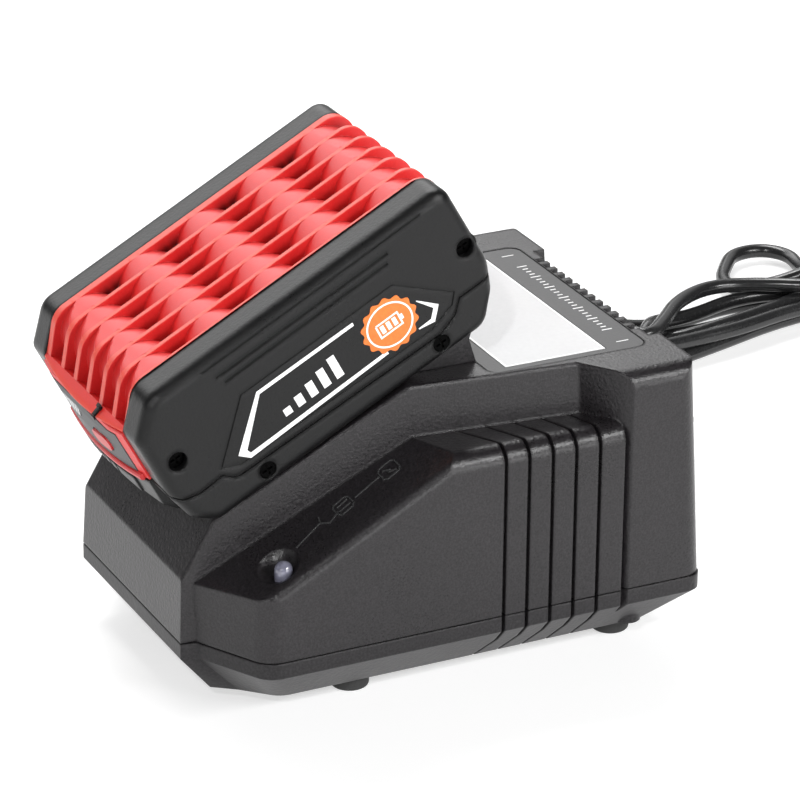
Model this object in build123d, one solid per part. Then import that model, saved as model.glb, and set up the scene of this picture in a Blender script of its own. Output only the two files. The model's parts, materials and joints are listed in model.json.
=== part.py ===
from build123d import *
import math
import os

# ---------------------------------------------------------------------------
# Desk-top battery charger with a slide-on battery pack docked on its incline.
# Working frame: x = 0 at the top edge of the front face, +x to the rear,
# y = 0 on the centre line, z = 0 on the surface it stands on, millimetres.
# Every piece is shifted at the end so that the origin is the bottom centre.
# ---------------------------------------------------------------------------

os.makedirs("parts", exist_ok=True)

# charger
PART_Z = 20.2          # height of the split between the two housings
SPLIT_GAP = 0.4        # shadow gap at the split
TOP_Z = 82.8           # height of the flat top
POD_Y = 54.6           # half width over the side pods
POD_TOP = 68.6         # height of the level pod top
REAR_LOW, REAR_TOP = 143.3, 139.3
WALL = 2.4             # housing wall
CREASE_Z = 15.7        # where the bottom chamfer starts
UNDER_Z = 4.8          # underside
FOOT_D = 10.5
GROOVE_X = [82.5, 89.35, 96.3, 103.2, 110.3]
GROOVE_TIP = [(75.3, -38.4), (83.5, -39.2), (91.1, -39.9), (99.2, -40.6), (107.0, -41.4)]
GROOVE_W = 1.1
GROOVE_DEEP = 1.8
LED_AT = (21.3, -46.3, 43.6)

# battery pack, in its own axes: u along the dock, v across, w square to the dock
PACK_O = (9.957, 0.0, 104.001)
PACK_TILT = 28.437
PITCH = 19.2           # cell pitch
CELL_U0 = -16.9        # first cell centre
ROW_W = (-10.8, -29.3) # the two rows of cells
CELL_R, CELL_L = 9.1, 65.0
BUMP_R, BUMP_W = 9.9, -9.65
RED_V = 26.8           # half width of the red shell
SIDE_V = 37.5          # half width of the pack
FIN_V = [24.1, 15.4, 6.7, -2.0, -10.7, -19.4]
FIN_T = 1.0
DOCK_W = -43.8         # dock surface in pack axes
PACK_TRAVEL = 90.0

# cord
CORD_D = 4.6
FLOOR_CORD = 0.15      # underside of the cord above the surface

# ---------------------------------------------------------------------------
# helpers
# ---------------------------------------------------------------------------


def face(pts):
    return make_face(Polyline(*[(p[0], p[1]) for p in pts], close=True))


def prism(pts, z0, z1):
    return extrude(Plane((0, 0, z0)) * face(pts), z1 - z0)


def prism_xz(pts, y0, y1):
    pl = Plane(origin=(0, y1, 0), x_dir=(1, 0, 0), z_dir=(0, -1, 0))
    return extrude(pl * face(pts), y1 - y0)


def rounded_face(pts, radii):
    """Closed outline with a radius at some of its corners: radii = {index: r}."""
    n = len(pts)
    edges = []
    ends = []
    for i in range(n):
        a, b, c = Vector(*pts[i - 1]), Vector(*pts[i]), Vector(*pts[(i + 1) % n])
        r = radii.get(i, 0)
        if not r:
            ends.append((b, b, None))
            continue
        d1, d2 = (a - b).normalized(), (c - b).normalized()
        ang = math.radians(d1.get_angle(d2))
        t = r / math.tan(ang / 2)
        p1, p2 = b + d1 * t, b + d2 * t
        bis = (d1 + d2).normalized()
        mid = b + bis * (r / math.sin(ang / 2) - r)
        ends.append((p1, p2, mid))
    for i in range(n):
        p1, p2, mid = ends[i]
        if mid is not None:
            edges.append(ThreePointArc(p1, mid, p2))
        q = ends[(i + 1) % n][0]
        if (q - p2).length > 1e-6:
            edges.append(Line(p2, q))
    return make_face(Curve() + edges)


def solid_uw(sketch, v0, v1):
    """Extrude a sketch drawn in (u, w) between two v values, in pack axes."""
    pl = Plane(origin=(0, v1, 0), x_dir=(1, 0, 0), z_dir=(0, -1, 0))
    return extrude(pl * sketch, v1 - v0)


def box(x0, x1, y0, y1, z0, z1):
    return Pos((x0 + x1) / 2, (y0 + y1) / 2, (z0 + z1) / 2) * Box(abs(x1 - x0), abs(y1 - y0), abs(z1 - z0))


def cyl_z(x, y, z0, z1, r):
    return Pos(x, y, (z0 + z1) / 2) * Cylinder(r, z1 - z0)


def cyl_y(x, z, y0, y1, r):
    return Pos(x, (y0 + y1) / 2, z) * Rot(90, 0, 0) * Cylinder(r, abs(y1 - y0))


def cyl_x(y, z, x0, x1, r):
    return Pos((x0 + x1) / 2, y, z) * Rot(0, 90, 0) * Cylinder(r, abs(x1 - x0))


def try_fillet(part, edges, r):
    for k in (1.0, 0.8, 0.6, 0.4):
        try:
            out = fillet(edges, r * k)
            if out.is_valid and out.volume > 0:
                return out
        except Exception:
            pass
    print("  rounding left out, radius", r)
    return part


def meet(p, d, q, e):
    """Crossing of the line p + s d with q + t e."""
    det = d[0] * e[1] - d[1] * e[0]
    s = ((q[0] - p[0]) * e[1] - (q[1] - p[1]) * e[0]) / det
    return (p[0] + s * d[0], p[1] + s * d[1])


def both(part):
    return [part, mirror(part, about=Plane.XZ)]


nodes = {}
PACK = Plane(origin=PACK_O, x_dir=(math.cos(math.radians(PACK_TILT)), 0, math.sin(math.radians(PACK_TILT))),
             z_dir=(-math.sin(math.radians(PACK_TILT)), 0, math.cos(math.radians(PACK_TILT))))


def to_world(part):
    return PACK.location * part


def uw(u, w, v=0.0):
    c, s = math.cos(math.radians(PACK_TILT)), math.sin(math.radians(PACK_TILT))
    return (PACK_O[0] + u * c - w * s, v, PACK_O[2] + u * s + w * c)


# ---------------------------------------------------------------------------
# charger shells
# ---------------------------------------------------------------------------

def side_profile(t):
    """Keep-region of the wedge in x-z, moved inwards by t."""
    steep_p, steep_d = (0.0, 38.4), (9.0, 15.1)
    ramp_p, ramp_d = uw(0.0, DOCK_W)[::2], (math.cos(math.radians(PACK_TILT)), math.sin(math.radians(PACK_TILT)))
    def off(p, d):
        n = math.hypot(*d)
        return (p[0] + d[1] / n * t, p[1] - d[0] / n * t)
    sp, rp = off(steep_p, steep_d), off(ramp_p, ramp_d)
    a = meet(sp, steep_d, (-12, 0), (0, 1))
    b = meet(sp, steep_d, rp, ramp_d)
    c = meet(rp, ramp_d, (0, TOP_Z - t), (1, 0))
    return [(-12, 0), a, b, c, (160, TOP_Z - t), (160, 0)]


def centre(t):
    z0, z1 = (PART_Z, TOP_Z + 1)
    def plan(z):
        k = 0.0449 * (z - PART_Z)
        x0 = -1.0 + k + t
        return [(x0, -(33.5 + 0.097 * (x0 + 1)) + k + t), (130, -(33.5 + 0.097 * 131) + k + t),
                (130, 33.5 + 0.097 * 131 - k - t), (x0, 33.5 + 0.097 * (x0 + 1) - k - t)]
    body = loft([Plane((0, 0, z0)) * face(plan(z0)), Plane((0, 0, z1)) * face(plan(z1))], ruled=True)
    return body & prism_xz(side_profile(t), -60, 60)


def pod(t):
    """Side pod, near side: sloping front part, level rear part, rounded outer edge."""
    f_p, f_d = (3.6, -34.8), (10.96, -20.0)
    n = math.hypot(*f_d)
    fp = (f_p[0] - f_d[1] / n * t, f_p[1] + f_d[0] / n * t)
    y_out = -POD_Y + t
    a = meet(fp, f_d, (0, -29), (1, 0))
    b = meet(fp, f_d, (0, y_out), (1, 0))
    plan = rounded_face([a, b, (117.7 - t, y_out), (117.7 - t, -29)], {1: max(7.5 - t, 2)})
    body = extrude(Plane((0, 0, PART_Z)) * plan, 60)
    level = rounded_face([(-29, 0), (y_out, 0), (y_out, POD_TOP - t), (-29, POD_TOP - t)], {2: max(5.0 - t, 0.8)})
    lvl = extrude(Plane(origin=(-5, 0, 0), x_dir=(0, 1, 0), z_dir=(1, 0, 0)) * level, 140)
    b_ang = math.degrees(math.atan(0.54))
    c, s = math.cos(math.radians(b_ang)), math.sin(math.radians(b_ang))
    o = (5 + s * t, 0, 38 - c * t)
    sl = 0.23 * c
    slope = rounded_face([(-29, -90), (y_out, -90), (y_out, -sl * (-y_out - 34)), (-29, -sl * (29 - 34))], {2: max(3.0 - t, 0.8)})
    inc = extrude(Plane(origin=o, x_dir=(0, 1, 0), z_dir=(c, 0, s)) * slope, 160, both=True)
    return body & lvl & inc


def rear(t):
    def plan(x_r):
        p = [(109, -40 + t), (112.4 + t, -44.6), (118.4 + t, -52.8), (119.8 + t, -POD_Y + t), (x_r - t, -POD_Y + t)]
        q = [(x, -y) for x, y in reversed(p)]
        return rounded_face(p + q, {4: max(5.5 - t, 2.0), 5: max(5.5 - t, 2.0)})
    z0, z1 = PART_Z, TOP_Z + 1
    xr1 = REAR_LOW + (REAR_TOP - REAR_LOW) * (z1 - z0) / (TOP_Z - PART_Z)
    body = loft([Plane((0, 0, z0)) * plan(REAR_LOW), Plane((0, 0, z1)) * plan(xr1)], ruled=True)
    cap = rounded_face([(-POD_Y + t, 0), (-POD_Y + t, TOP_Z - t), (POD_Y - t, TOP_Z - t), (POD_Y - t, 0)],
                       {1: max(4.5 - t, 1.0), 2: max(4.5 - t, 1.0)})
    top = extrude(Plane(origin=(90, 0, 0), x_dir=(0, 1, 0), z_dir=(1, 0, 0)) * cap, 80)
    return body & top


def groove_tool(i):
    x, (tx, ty) = GROOVE_X[i], GROOVE_TIP[i]
    h = GROOVE_W / 2
    return prism([(x - h, -60), (x + h, -60), (x + h, -50.5), (tx + 0.25, ty), (tx - 0.25, ty), (x - h, -50.5)], 0, 80)


print("upper housing")
pods_out = pod(0)
pods_in = pod(GROOVE_DEEP)
tools = [groove_tool(i) for i in range(5)]
pods_cut = pods_out
for tl in tools:
    pods_cut = pods_cut - tl
pods_cut = pods_cut + pods_in
centre_out = centre(0)
wall_edges = [e for e in centre_out.edges() if e.center().Z > 39 and e.length > 8
              and abs(abs(e.center().Y) - (33.5 + 0.097 * (e.center().X + 1) - 0.0449 * (e.center().Z - PART_Z))) < 0.6
              and e.center().X < 120]
centre_out = try_fillet(centre_out, wall_edges, 0.9)
rear_out = rear(0)
back_edges = [e for e in rear_out.edges() if abs(e.center().Z - TOP_Z) < 0.3 and e.center().X > 136]
upper = centre_out + rear_out + pods_cut + mirror(pods_cut, about=Plane.XZ)
# recessed rear panel with its vent slots
upper = upper - box(136.0, 150, -33, 33, 34, 90)
for i in range(13):
    y = -26.4 + 4.4 * i
    upper = upper - box(133.4, 137, y - 1.2, y + 1.2, 48, 90)
# cavity
cav = centre(WALL) + rear(WALL) + (pod(GROOVE_DEEP + 1.8)) + mirror(pod(GROOVE_DEEP + 1.8), about=Plane.XZ)
cav = cav - box(130.6, 160, -36, 36, 30, 90)
upper = upper - cav
# inlay recess in the flat top
PANEL = [(85.9, -38.6), (133.2, -38.6), (133.2, 38.6), (85.9, 38.6)]
recess = extrude(Plane((0, 0, TOP_Z - 1.1)) * rounded_face(PANEL, {0: 3.8, 1: 3.8, 2: 3.8, 3: 3.8}), 5)
upper = upper - recess
# dimple and hole for the status lens
dim_n = Vector(-0.54, -0.23, 1).normalized()
dim_c = Vector(*LED_AT) + dim_n * 5.1
upper = upper - Pos(dim_c.X, dim_c.Y, dim_c.Z) * Sphere(7.5)
LENS_XY = (22.0, -47.6)
upper = upper - cyl_z(LENS_XY[0], LENS_XY[1], 30, 60, 2.55)
# opening for the contact tails at the top of the dock
upper = upper - (to_world(box(37.5, 50, -17.5, 17.5, -60, -43.0)) & box(60, 84, -20, 20, 70, 84))
# screw bosses hanging from the top
BOSS = [(34.0, 40.0), (126.0, 43.0)]
for bx, by in BOSS:
    for s in (-1, 1):
        top = 47.5 if bx < 60 else 81.0
        upper = upper + (cyl_z(bx, s * by, PART_Z + 3.0, top, 3.6) - cyl_z(bx, s * by, PART_Z, PART_Z + 16, 1.25))
# cord notch in the rear wall
CORD_Y, CORD_Z = 33.0, 20.2
SLEEVE_END = 164.1
upper = upper - cyl_x(CORD_Y, CORD_Z, 130, 150, 4.6)
upper = upper - box(-20, 160, -70, 70, 0, PART_Z + SPLIT_GAP / 2)
nodes["upper_housing"] = upper

print("lower housing")


def low_body(t):
    """Lower shell outline, chamfered below the crease, moved inwards by t."""
    def inset(k):
        top = [(-1.0 + t, -33.5 + t), (3.3 + t, -34.2 + t), (14.6 + t * 0.7, -POD_Y + t), (REAR_LOW - t, -POD_Y + t)]
        bot = [(8.0 + t, -31.6 + t), (14.2 + t, -36.2 + t), (22.5 + t * 0.7, -44.4 + t), (REAR_LOW - 10.6 - t, -44.4 + t)]
        p = [(a[0] + (b[0] - a[0]) * k, a[1] + (b[1] - a[1]) * k) for a, b in zip(top, bot)]
        q = [(x, -y) for x, y in reversed(p)]
        return rounded_face(p + q, {2: 7.0, 3: 4.5, 4: 4.5, 5: 7.0})
    zc, zu = CREASE_Z + t * 0.4, UNDER_Z + t * 0.6
    up = extrude(Plane((0, 0, zc)) * inset(0), PART_Z - SPLIT_GAP / 2 - zc)
    dn = loft([Plane((0, 0, zc)) * inset(0), Plane((0, 0, zu)) * inset(1)], ruled=True)
    return up + dn


low_out = low_body(0)
low_core = low_body(GROOVE_DEEP)
low_cut = low_out
for tl in tools:
    low_cut = low_cut - tl - mirror(tl, about=Plane.XZ)
vee = prism([(117.7, -60), (119.8, -60), (119.8, -POD_Y), (118.2, -51.9), (117.7, -51.9)], 0, 30)
low_cut = low_cut - vee - mirror(vee, about=Plane.XZ)
low = low_cut + low_core
cavity = low_body(WALL + 1.6)
low = low - (cavity & box(-20, 160, -70, 70, UNDER_Z + WALL, 40))


def low_ring(t0, t1, z0, z1):
    """Band that follows the outline between two insets."""
    out = None
    for t, sign in ((t0, 1), (t1, -1)):
        p = [(-1.0 + t, -33.5 + t), (3.3 + t, -34.2 + t), (14.6 + t * 0.7, -POD_Y + t), (REAR_LOW - t, -POD_Y + t)]
        q = [(x, -y) for x, y in reversed(p)]
        b = extrude(Plane((0, 0, z0)) * rounded_face(p + q, {2: 7.0, 3: 4.5, 4: 4.5, 5: 7.0}), z1 - z0)
        out = b if out is None else out - b
    return out


# lip that locates the upper housing
lip = low_ring(4.2, 5.6, PART_Z - SPLIT_GAP, PART_Z + 1.6)
for s in (-1, 1):
    lip = lip - box(112.5, 121.0, s * 47.0, s * 60.0, PART_Z - SPLIT_GAP / 2, 40)
low = low + low_ring(3.6, 5.6, 15.5, PART_Z - SPLIT_GAP / 2) + lip
# screw pillars, board pillars and foot recesses
for bx, by in BOSS:
    for s in (-1, 1):
        low = low + cyl_z(bx, s * by, UNDER_Z + 0.5, PART_Z + 2.8, 4.0)
        low = low - cyl_z(bx, s * by, 0, UNDER_Z + 5.0, 3.0) - cyl_z(bx, s * by, 0, 40, 1.7)
BOARD = (22.0, 126.0, -32.0, 32.0)
for px, py in ((28, -27), (28, 27), (120, -27), (120, 27)):
    low = low + (cyl_z(px, py, UNDER_Z + 0.5, 13.0, 3.0))
FOOT_AT = [(46.0, -36.8), (46.0, 36.8), (124.5, -36.8), (124.5, 36.8)]
for fx, fy in FOOT_AT:
    low = low - cyl_z(fx, fy, 0, UNDER_Z + 1.2, FOOT_D / 2 + 0.1)
for k in (-1, 1):
    low = low + (box(131.2, 136.2, CORD_Y + k * 5.6, CORD_Y + k * 9, UNDER_Z, 15.0) & low_body(1.0))
low = low - cyl_x(CORD_Y, CORD_Z, 130, 150, 4.6)
nodes["lower_housing"] = low

print("charger trim")
# rubber feet with a domed sole
feet = None
for fx, fy in FOOT_AT:
    f = cyl_z(fx, fy, 0, UNDER_Z + 1.2, FOOT_D / 2)
    f = try_fillet(f, f.edges().group_by(Axis.Z)[0], 1.0)
    feet = f if feet is None else feet + f
nodes["rubber_feet"] = feet

# inlaid panel and the sticker on it
panel = extrude(Plane((0, 0, TOP_Z - 1.1)) * rounded_face([(86.25, -38.25), (132.85, -38.25), (132.85, 38.25), (86.25, 38.25)],
                {0: 3.4, 1: 3.4, 2: 3.4, 3: 3.4}), 0.95)
STICKER = (91.5, 121.3, -35.7, 35.7)
panel = panel - box(STICKER[0] - 0.25, STICKER[1] + 0.25, STICKER[2] - 0.25, STICKER[3] + 0.25, TOP_Z - 0.45, TOP_Z + 1)
nodes["label_panel"] = panel
nodes["white_label"] = box(STICKER[0], STICKER[1], STICKER[2], STICKER[3], TOP_Z - 0.45, TOP_Z - 0.22)

# status lens: dome with a collar under the shell
lx, ly = LENS_XY
lens = cyl_z(lx, ly, 36.5, 43.2, 2.45) + (Pos(lx, ly, 43.2) * Sphere(2.45))
lens = lens + cyl_z(lx, ly, 35.0, 36.6, 3.4)
led_body = cyl_z(lx, ly, 28.0, 33.0, 1.9) + Pos(lx, ly, 33.0) * Sphere(1.9)
nodes["led_lens"] = lens
nodes["status_led"] = led_body + cyl_z(lx - 0.7, ly, 24.6, 28.0, 0.3) + cyl_z(lx + 0.7, ly, 24.6, 28.0, 0.3) + box(lx - 4, lx + 4, ly - 3.0, ly + 3.0, 23.4, 24.6)

# dock rails, in pack axes
rails = []
for s in (-1, 1):
    prof = [(22.2 * s, DOCK_W), (25.0 * s, DOCK_W), (25.0 * s, -42.0), (27.2 * s, -42.0), (27.2 * s, -40.9), (22.2 * s, -40.9)]
    pl = Plane(origin=(-12.0, 0, 0), x_dir=(0, 1, 0), z_dir=(1, 0, 0))
    r = extrude(pl * face(prof), 46.0)
    rails.append(to_world(r))
nodes["dock_rails"] = Compound(children=rails)

# contact block: wedge on the flat top, raised tongue, five blades towards the low end
base_pts = [uw(36.9, -43.95), uw(62.2, -43.95), uw(58.1, -47.9)]
wedge = prism_xz([(base_pts[0][0], TOP_Z + 0.02), (base_pts[0][0], base_pts[0][2]), (base_pts[1][0], base_pts[1][2]),
                  (base_pts[2][0], base_pts[2][2]), (86.0, TOP_Z), (base_pts[0][0] + 0.1, TOP_Z)], -29.5, 29.5)
tongue = to_world(box(31.0, 60.0, -19.4, 19.4, -46.5, -40.9))
keep_above = prism_xz([uw(0, DOCK_W)[::2], uw(36.47, DOCK_W)[::2], (160, TOP_Z), (160, 140), (0, 140)], -40, 40)
block = (wedge + tongue) & keep_above
plugged = to_world(box(38.0, 49.5, -17.0, 17.0, -60, -43.0)) & box(60, 83.5, -20, 20, 76.0, 86)
block = block + plugged
blades = []
for i in range(5):
    v = -14.0 + 7.0 * i
    b = box(19.0, 44.5, v - 1.5, v + 1.5, -42.6, -41.8) + box(43.7, 44.5, v - 1.5, v + 1.5, -56.0, -41.8)
    block = block - to_world(b)
    blades.append(to_world(b))
nodes["contact_block"] = block
nodes["contact_blades"] = Compound(children=blades)

print("charger inside")
bz = 13.0
board = box(BOARD[0], BOARD[1], BOARD[2], BOARD[3], bz, bz + 1.6)
for px, py in ((28, -27), (28, 27), (120, -27), (120, 27)):
    board = board - cyl_z(px, py, 0, 40, 1.3)
nodes["main_board"] = board
bt = bz + 1.6
core = box(60, 88, -16, 16, bt + 1.0, bt + 25) - box(65, 70.5, -20, 20, bt + 6, bt + 20) - box(77.5, 83, -20, 20, bt + 6, bt + 20)
nodes["transformer_core"] = core
wind = box(65.2, 82.8, -12.5 - 5.2, 12.5 + 5.2, bt + 6.2, bt + 19.8) - box(70.3, 77.7, -30, 30, bt + 5, bt + 21) - box(60, 65.2, -30, 30, bt, bt + 30)
wind = wind + box(65.2, 82.8, -21.5, -16.2, bt + 6.2, bt + 19.8) + box(65.2, 82.8, 16.2, 21.5, bt + 6.2, bt + 19.8)
wind = wind + box(65.2, 82.8, -21.5, -18.5, bt, bt + 7) + box(65.2, 82.8, 18.5, 21.5, bt, bt + 7)
nodes["transformer_winding"] = wind
caps = []
for x, y, r, h in ((104, -14, 8.0, 24), (104, 6, 5.0, 17), (52, 22, 4.0, 12), (52, 12, 4.0, 12), (30, -12, 5.0, 14)):
    c = cyl_z(x, y, bt, bt + h, r)
    c = c - (cyl_z(x, y, bt + 2.0, bt + 3.0, r + 1) - cyl_z(x, y, bt + 2.0, bt + 3.0, r - 0.4))
    caps.append(c)
nodes["capacitors"] = Compound(children=caps)
sink = box(36, 46, -6, 24, bt, bt + 2.5)
for i in range(6):
    sink = sink + box(36, 46, -6 + 5.6 * i, -4 + 5.6 * i, bt, bt + 16)
nodes["heat_sink"] = sink
trs = []
for x0, y0 in ((31.2, 2), (31.2, 14)):
    trs.append(box(x0, x0 + 4.6, y0, y0 + 9.5, bt + 3, bt + 15) + box(x0 + 1.8, x0 + 2.8, y0 + 1, y0 + 8.5, bt, bt + 3.2))
nodes["power_transistors"] = Compound(children=trs)
nodes["fuse"] = cyl_y(119, bt + 3.4, -12, 8, 2.6) + box(116.8, 121.2, -12, -9, bt, bt + 4) + box(116.8, 121.2, 5, 8, bt, bt + 4)
choke = (Pos(104, 22, bt + 7.5) * Rot(0, 90, 0) * (Cylinder(7.2, 8.0) - Cylinder(3.0, 9.0)))
nodes["filter_choke"] = choke
wires = []
for i in range(5):
    v = -14.0 + 7.0 * i
    p0 = uw(44.1, -56.0, v)
    w = Cylinder(0.9, 1)
    path = FilletPolyline((p0[0], v, p0[2] - 0.05), (p0[0] + 2.8, v, p0[2] - 5.2), (95.0, v, 48.0), (95.0, v, bt), radius=3.0)
    sec = Plane(origin=path @ 0, z_dir=path % 0) * Circle(0.9)
    wires.append(sweep(sec, path=path))
nodes["blade_wires"] = Compound(children=wires)

# cord clamp inside the rear wall, screwed across the sleeve's tail
clamp = box(131.2, 136.2, CORD_Y - 9, CORD_Y + 9, 26.2, 29.2)
for k in (-1, 1):
    clamp = clamp + box(131.2, 136.2, CORD_Y + k * 5.6, CORD_Y + k * 9, 15.0, 26.4)
nodes["cord_clamp"] = clamp - cyl_x(CORD_Y, CORD_Z, 120, 140, 4.8)

# screws from below
screws = []
for bx, by in BOSS:
    for s in (-1, 1):
        z0 = UNDER_Z + 5.0
        sc = cyl_z(bx, s * by, z0 - 2.2, z0, 2.8) + cyl_z(bx, s * by, z0 - 0.1, z0 + 22, 1.2)
        sc = sc - box(bx - 1.6, bx + 1.6, s * by - 0.35, s * by + 0.35, z0 - 3, z0 - 1.2) - box(bx - 0.35, bx + 0.35, s * by - 1.6, s * by + 1.6, z0 - 3, z0 - 1.2)
        screws.append(sc)
nodes["housing_screws"] = Compound(children=screws)

# ---------------------------------------------------------------------------
# battery pack (pack axes until placed)
# ---------------------------------------------------------------------------
print("pack shells")
OUT = [(-23.2, -0.3), (70.6, -0.3), (71.4, -27.0), (68.7, -35.0), (62.6, -42.8), (-24.0, -42.8), (-29.6, -38.0), (-31.9, -28.0), (-31.8, -9.6)]
OUT_R = {0: 6.0, 1: 4.5, 2: 10.0, 3: 8.0, 4: 6.0, 5: 5.0, 6: 6.0, 7: 6.0, 8: 3.0}


def pack_outer(t):
    def sh(i):
        return OUT[i]
    sk = rounded_face(OUT, OUT_R)
    if t:
        sk = offset(sk, -t, kind=Kind.ARC)
    s = solid_uw(sk, -SIDE_V + t, SIDE_V - t)
    ed = [e for e in s.edges() if abs(abs(e.center().Y) - (SIDE_V - t)) < 0.01]
    return try_fillet(s, ed, max(3.2 - t, 0.9))


GAP = [(-40.0, -22.5), (-32.3, -22.5), (-31.5, -28.0), (-29.4, -30.2), (-24.7, -31.6), (-17.2, -31.3), (-15.1, -33.8), (-13.5, -34.4),
       (50.3, -35.9), (56.2, -33.9), (59.5, -30.3), (80.0, -30.4)]


def below(dw):
    pts = [(u, w + dw) for u, w in GAP]
    return solid_uw(face(pts + [(80, -60), (-40, -60)]), -45, 45)


def below_mid(dw):
    """The same split between the two side covers, where it steps down behind the nose."""
    pts = [(-45.0, -26.2 + dw), (-31.25, -26.2 + dw), (-29.0, -27.2 + dw), (-26.55, -31.5 + dw)] + [(u, w + dw) for u, w in GAP[5:]]
    return solid_uw(face(pts + [(80, -60), (-45, -60)]), -RED_V - 0.05, RED_V + 0.05)


outer = pack_outer(0)
inner = pack_outer(2.2)
# room for the two rows of cells, which thins the walls where they come close
cell_room = None
for i in range(5):
    for w in ROW_W:
        c = cyl_y(CELL_U0 + PITCH * i, w, -33.0, 33.0, CELL_R + 0.12)
        cell_room = c if cell_room is None else cell_room + c
top_half = outer - below(0.0)
low_half = outer & below(-0.45)
nose_cyl = Pos(108.3, 0, -20) * Cylinder(143.2, 60)

# --- side covers -----------------------------------------------------------
COVER_HOLES = [(-25.2, -20.1, 2.9), (67.3, -19.3, 2.2)]
cover = top_half & box(-60, 100, -60, -RED_V - 0.1, -60, 10)
cover = cover - (inner & box(-60, 100, -60, 0, -60, 10))
for u, w, rb in COVER_HOLES:
    cover = cover + cyl_y(u, w, -35.4, -RED_V - 0.1, rb) + cyl_y(u, w, -36.0, -33.2, 3.9)
    cover = cover - cyl_y(u, w, -40, -34.2, 2.7) - cyl_y(u, w, -40, -20, 1.2)
# long grooves and the outline of the label field
for w, u0, u1 in ((-2.9, -8.5, 61.1), (-6.7, -5.7, 48.8), (-9.2, -4.3, 47.5)):
    cover = cover - (box(u0, u1, -40, -SIDE_V + 0.55, w - 0.4, w + 0.4))
FIELD = [(-2.7, -14.8), (45.8, -14.9), (59.3, -28.0), (57.0, -31.0), (49.0, -33.6), (-12.0, -32.2), (-17.1, -29.6)]
fo = solid_uw(face(FIELD), -45, -SIDE_V + 0.35)
fi = solid_uw(offset(face(FIELD), -0.45, kind=Kind.INTERSECTION), -45, -SIDE_V + 0.35)
cover = cover - (fo - fi) - cell_room
nodes["pack_near_cover"] = cover
nodes["pack_far_cover"] = mirror(cover, about=Plane.XZ)

# --- red cell case -----------------------------------------------------------
RED = [(-23.4, 0.0), (71.2, 0.0), (71.2, -31.5), (-31.3, -31.5), (-31.3, -10.0)]
red = solid_uw(rounded_face(RED, {0: 7.0, 1: 6.0}), -RED_V, RED_V)
ledge = solid_uw(face([(-27.0, -4.6), (-33.4, -10.1), (-33.4, -11.7), (-27.0, -11.7)]), -RED_V, RED_V) & (Pos(113.9, 0, -10) * Cylinder(147.0, 60))
nose = solid_uw(face([(-33.3, -10.3), (-34.3, -13.6), (-34.9, -18.0), (-35.1, -27.0), (-27.0, -27.0), (-27.0, -10.3)]), -RED_V, RED_V)
frame = (box(-36, -27, -RED_V, RED_V, -26.2, -10.5) & nose_cyl & nose) - box(-40, -31.3, -22.6, 22.6, -25.0, -11.6)
red = red + ledge + frame
# fin pockets: each deepest beside its fin, shallow towards the next one
bumps = None
for i in range(5):
    c = cyl_y(CELL_U0 + PITCH * i, BUMP_W, -40, 40, BUMP_R)
    bumps = c if bumps is None else bumps + c
c0, c4 = CELL_U0, CELL_U0 + 4 * PITCH
keep = bumps + box(c0, c4, -40, 40, -40, -7.3) + box(c0 - BUMP_R + 2.2, c4 + BUMP_R + 0.5, -40, 40, -40, BUMP_W)
for j, vf in enumerate(FIN_V):
    v_near = (FIN_V[j + 1] + FIN_T) if j < 5 else -RED_V + 1.0
    prof = [(vf, 2.0), (vf, -7.6), (v_near, -2.6), (v_near, 2.0)]
    pl = Plane(origin=(-24.0, 0, 0), x_dir=(0, 1, 0), z_dir=(1, 0, 0))
    tool = extrude(pl * face(prof), 90.0)
    tool = tool & box(c0, c4, -40, 40, -20, 5)
    # front: the same pocket laid along the sloping front
    d = Vector(-5.6, 0, -7.1).normalized()
    nrm = Vector(-7.1, 0, 5.6).normalized()
    o = Vector(-27.6, 0, -5.3)
    plf = Plane(origin=(o.X, o.Y, o.Z), x_dir=(0, 1, 0), z_dir=(d.X, 0, d.Z))
    sgn = 1.0 if (plf.y_dir.X < 0) else -1.0
    pf = [(vf, 9.0 * sgn), (vf, -8.0 * sgn), (v_near, -2.4 * sgn), (v_near, 9.0 * sgn)]
    tf = extrude(plf * face(pf), 16.0, both=True)
    tf = tf & solid_uw(face([(-60, -7.9), (-29.3, -7.9), (-20.0, -7.0), (c0 + 0.01, -7.0), (c0 + 0.01, 10), (-60, 10)]), -40, 40)
    # rear: along the upright back
    plr = Plane(origin=(0, 0, -22.0), x_dir=(0, 1, 0), z_dir=(0, 0, 1))
    s2 = 1.0 if plr.y_dir.X > 0 else -1.0
    pr = [(vf, 90.0 * s2), (vf, (c4 + 5.0) * s2), (v_near, (c4 + 8.6) * s2), (v_near, 90.0 * s2)]
    tr = extrude(plr * face(pr), 40.0) & box(c4 - 0.01, 90, -40, 40, -22, 5)
    tool = (tool + tf + tr) - keep
    red = red - tool
# hollow for the cells, open at both sides and below
hollow = box(-26.6, 69.6, -40, 40, -60, ROW_W[0])
for i in range(5):
    hollow = hollow + cyl_y(CELL_U0 + PITCH * i, ROW_W[0], -40, 40, CELL_R + 0.15)
red = red - hollow - below_mid(0.0)
# pocket for the gauge switch
SW_V = -9.5
red = red - box(-31.4, -27.0, SW_V - 6.2, SW_V + 6.2, -22.4, -14.6)
nodes["pack_cell_case"] = red

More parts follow.
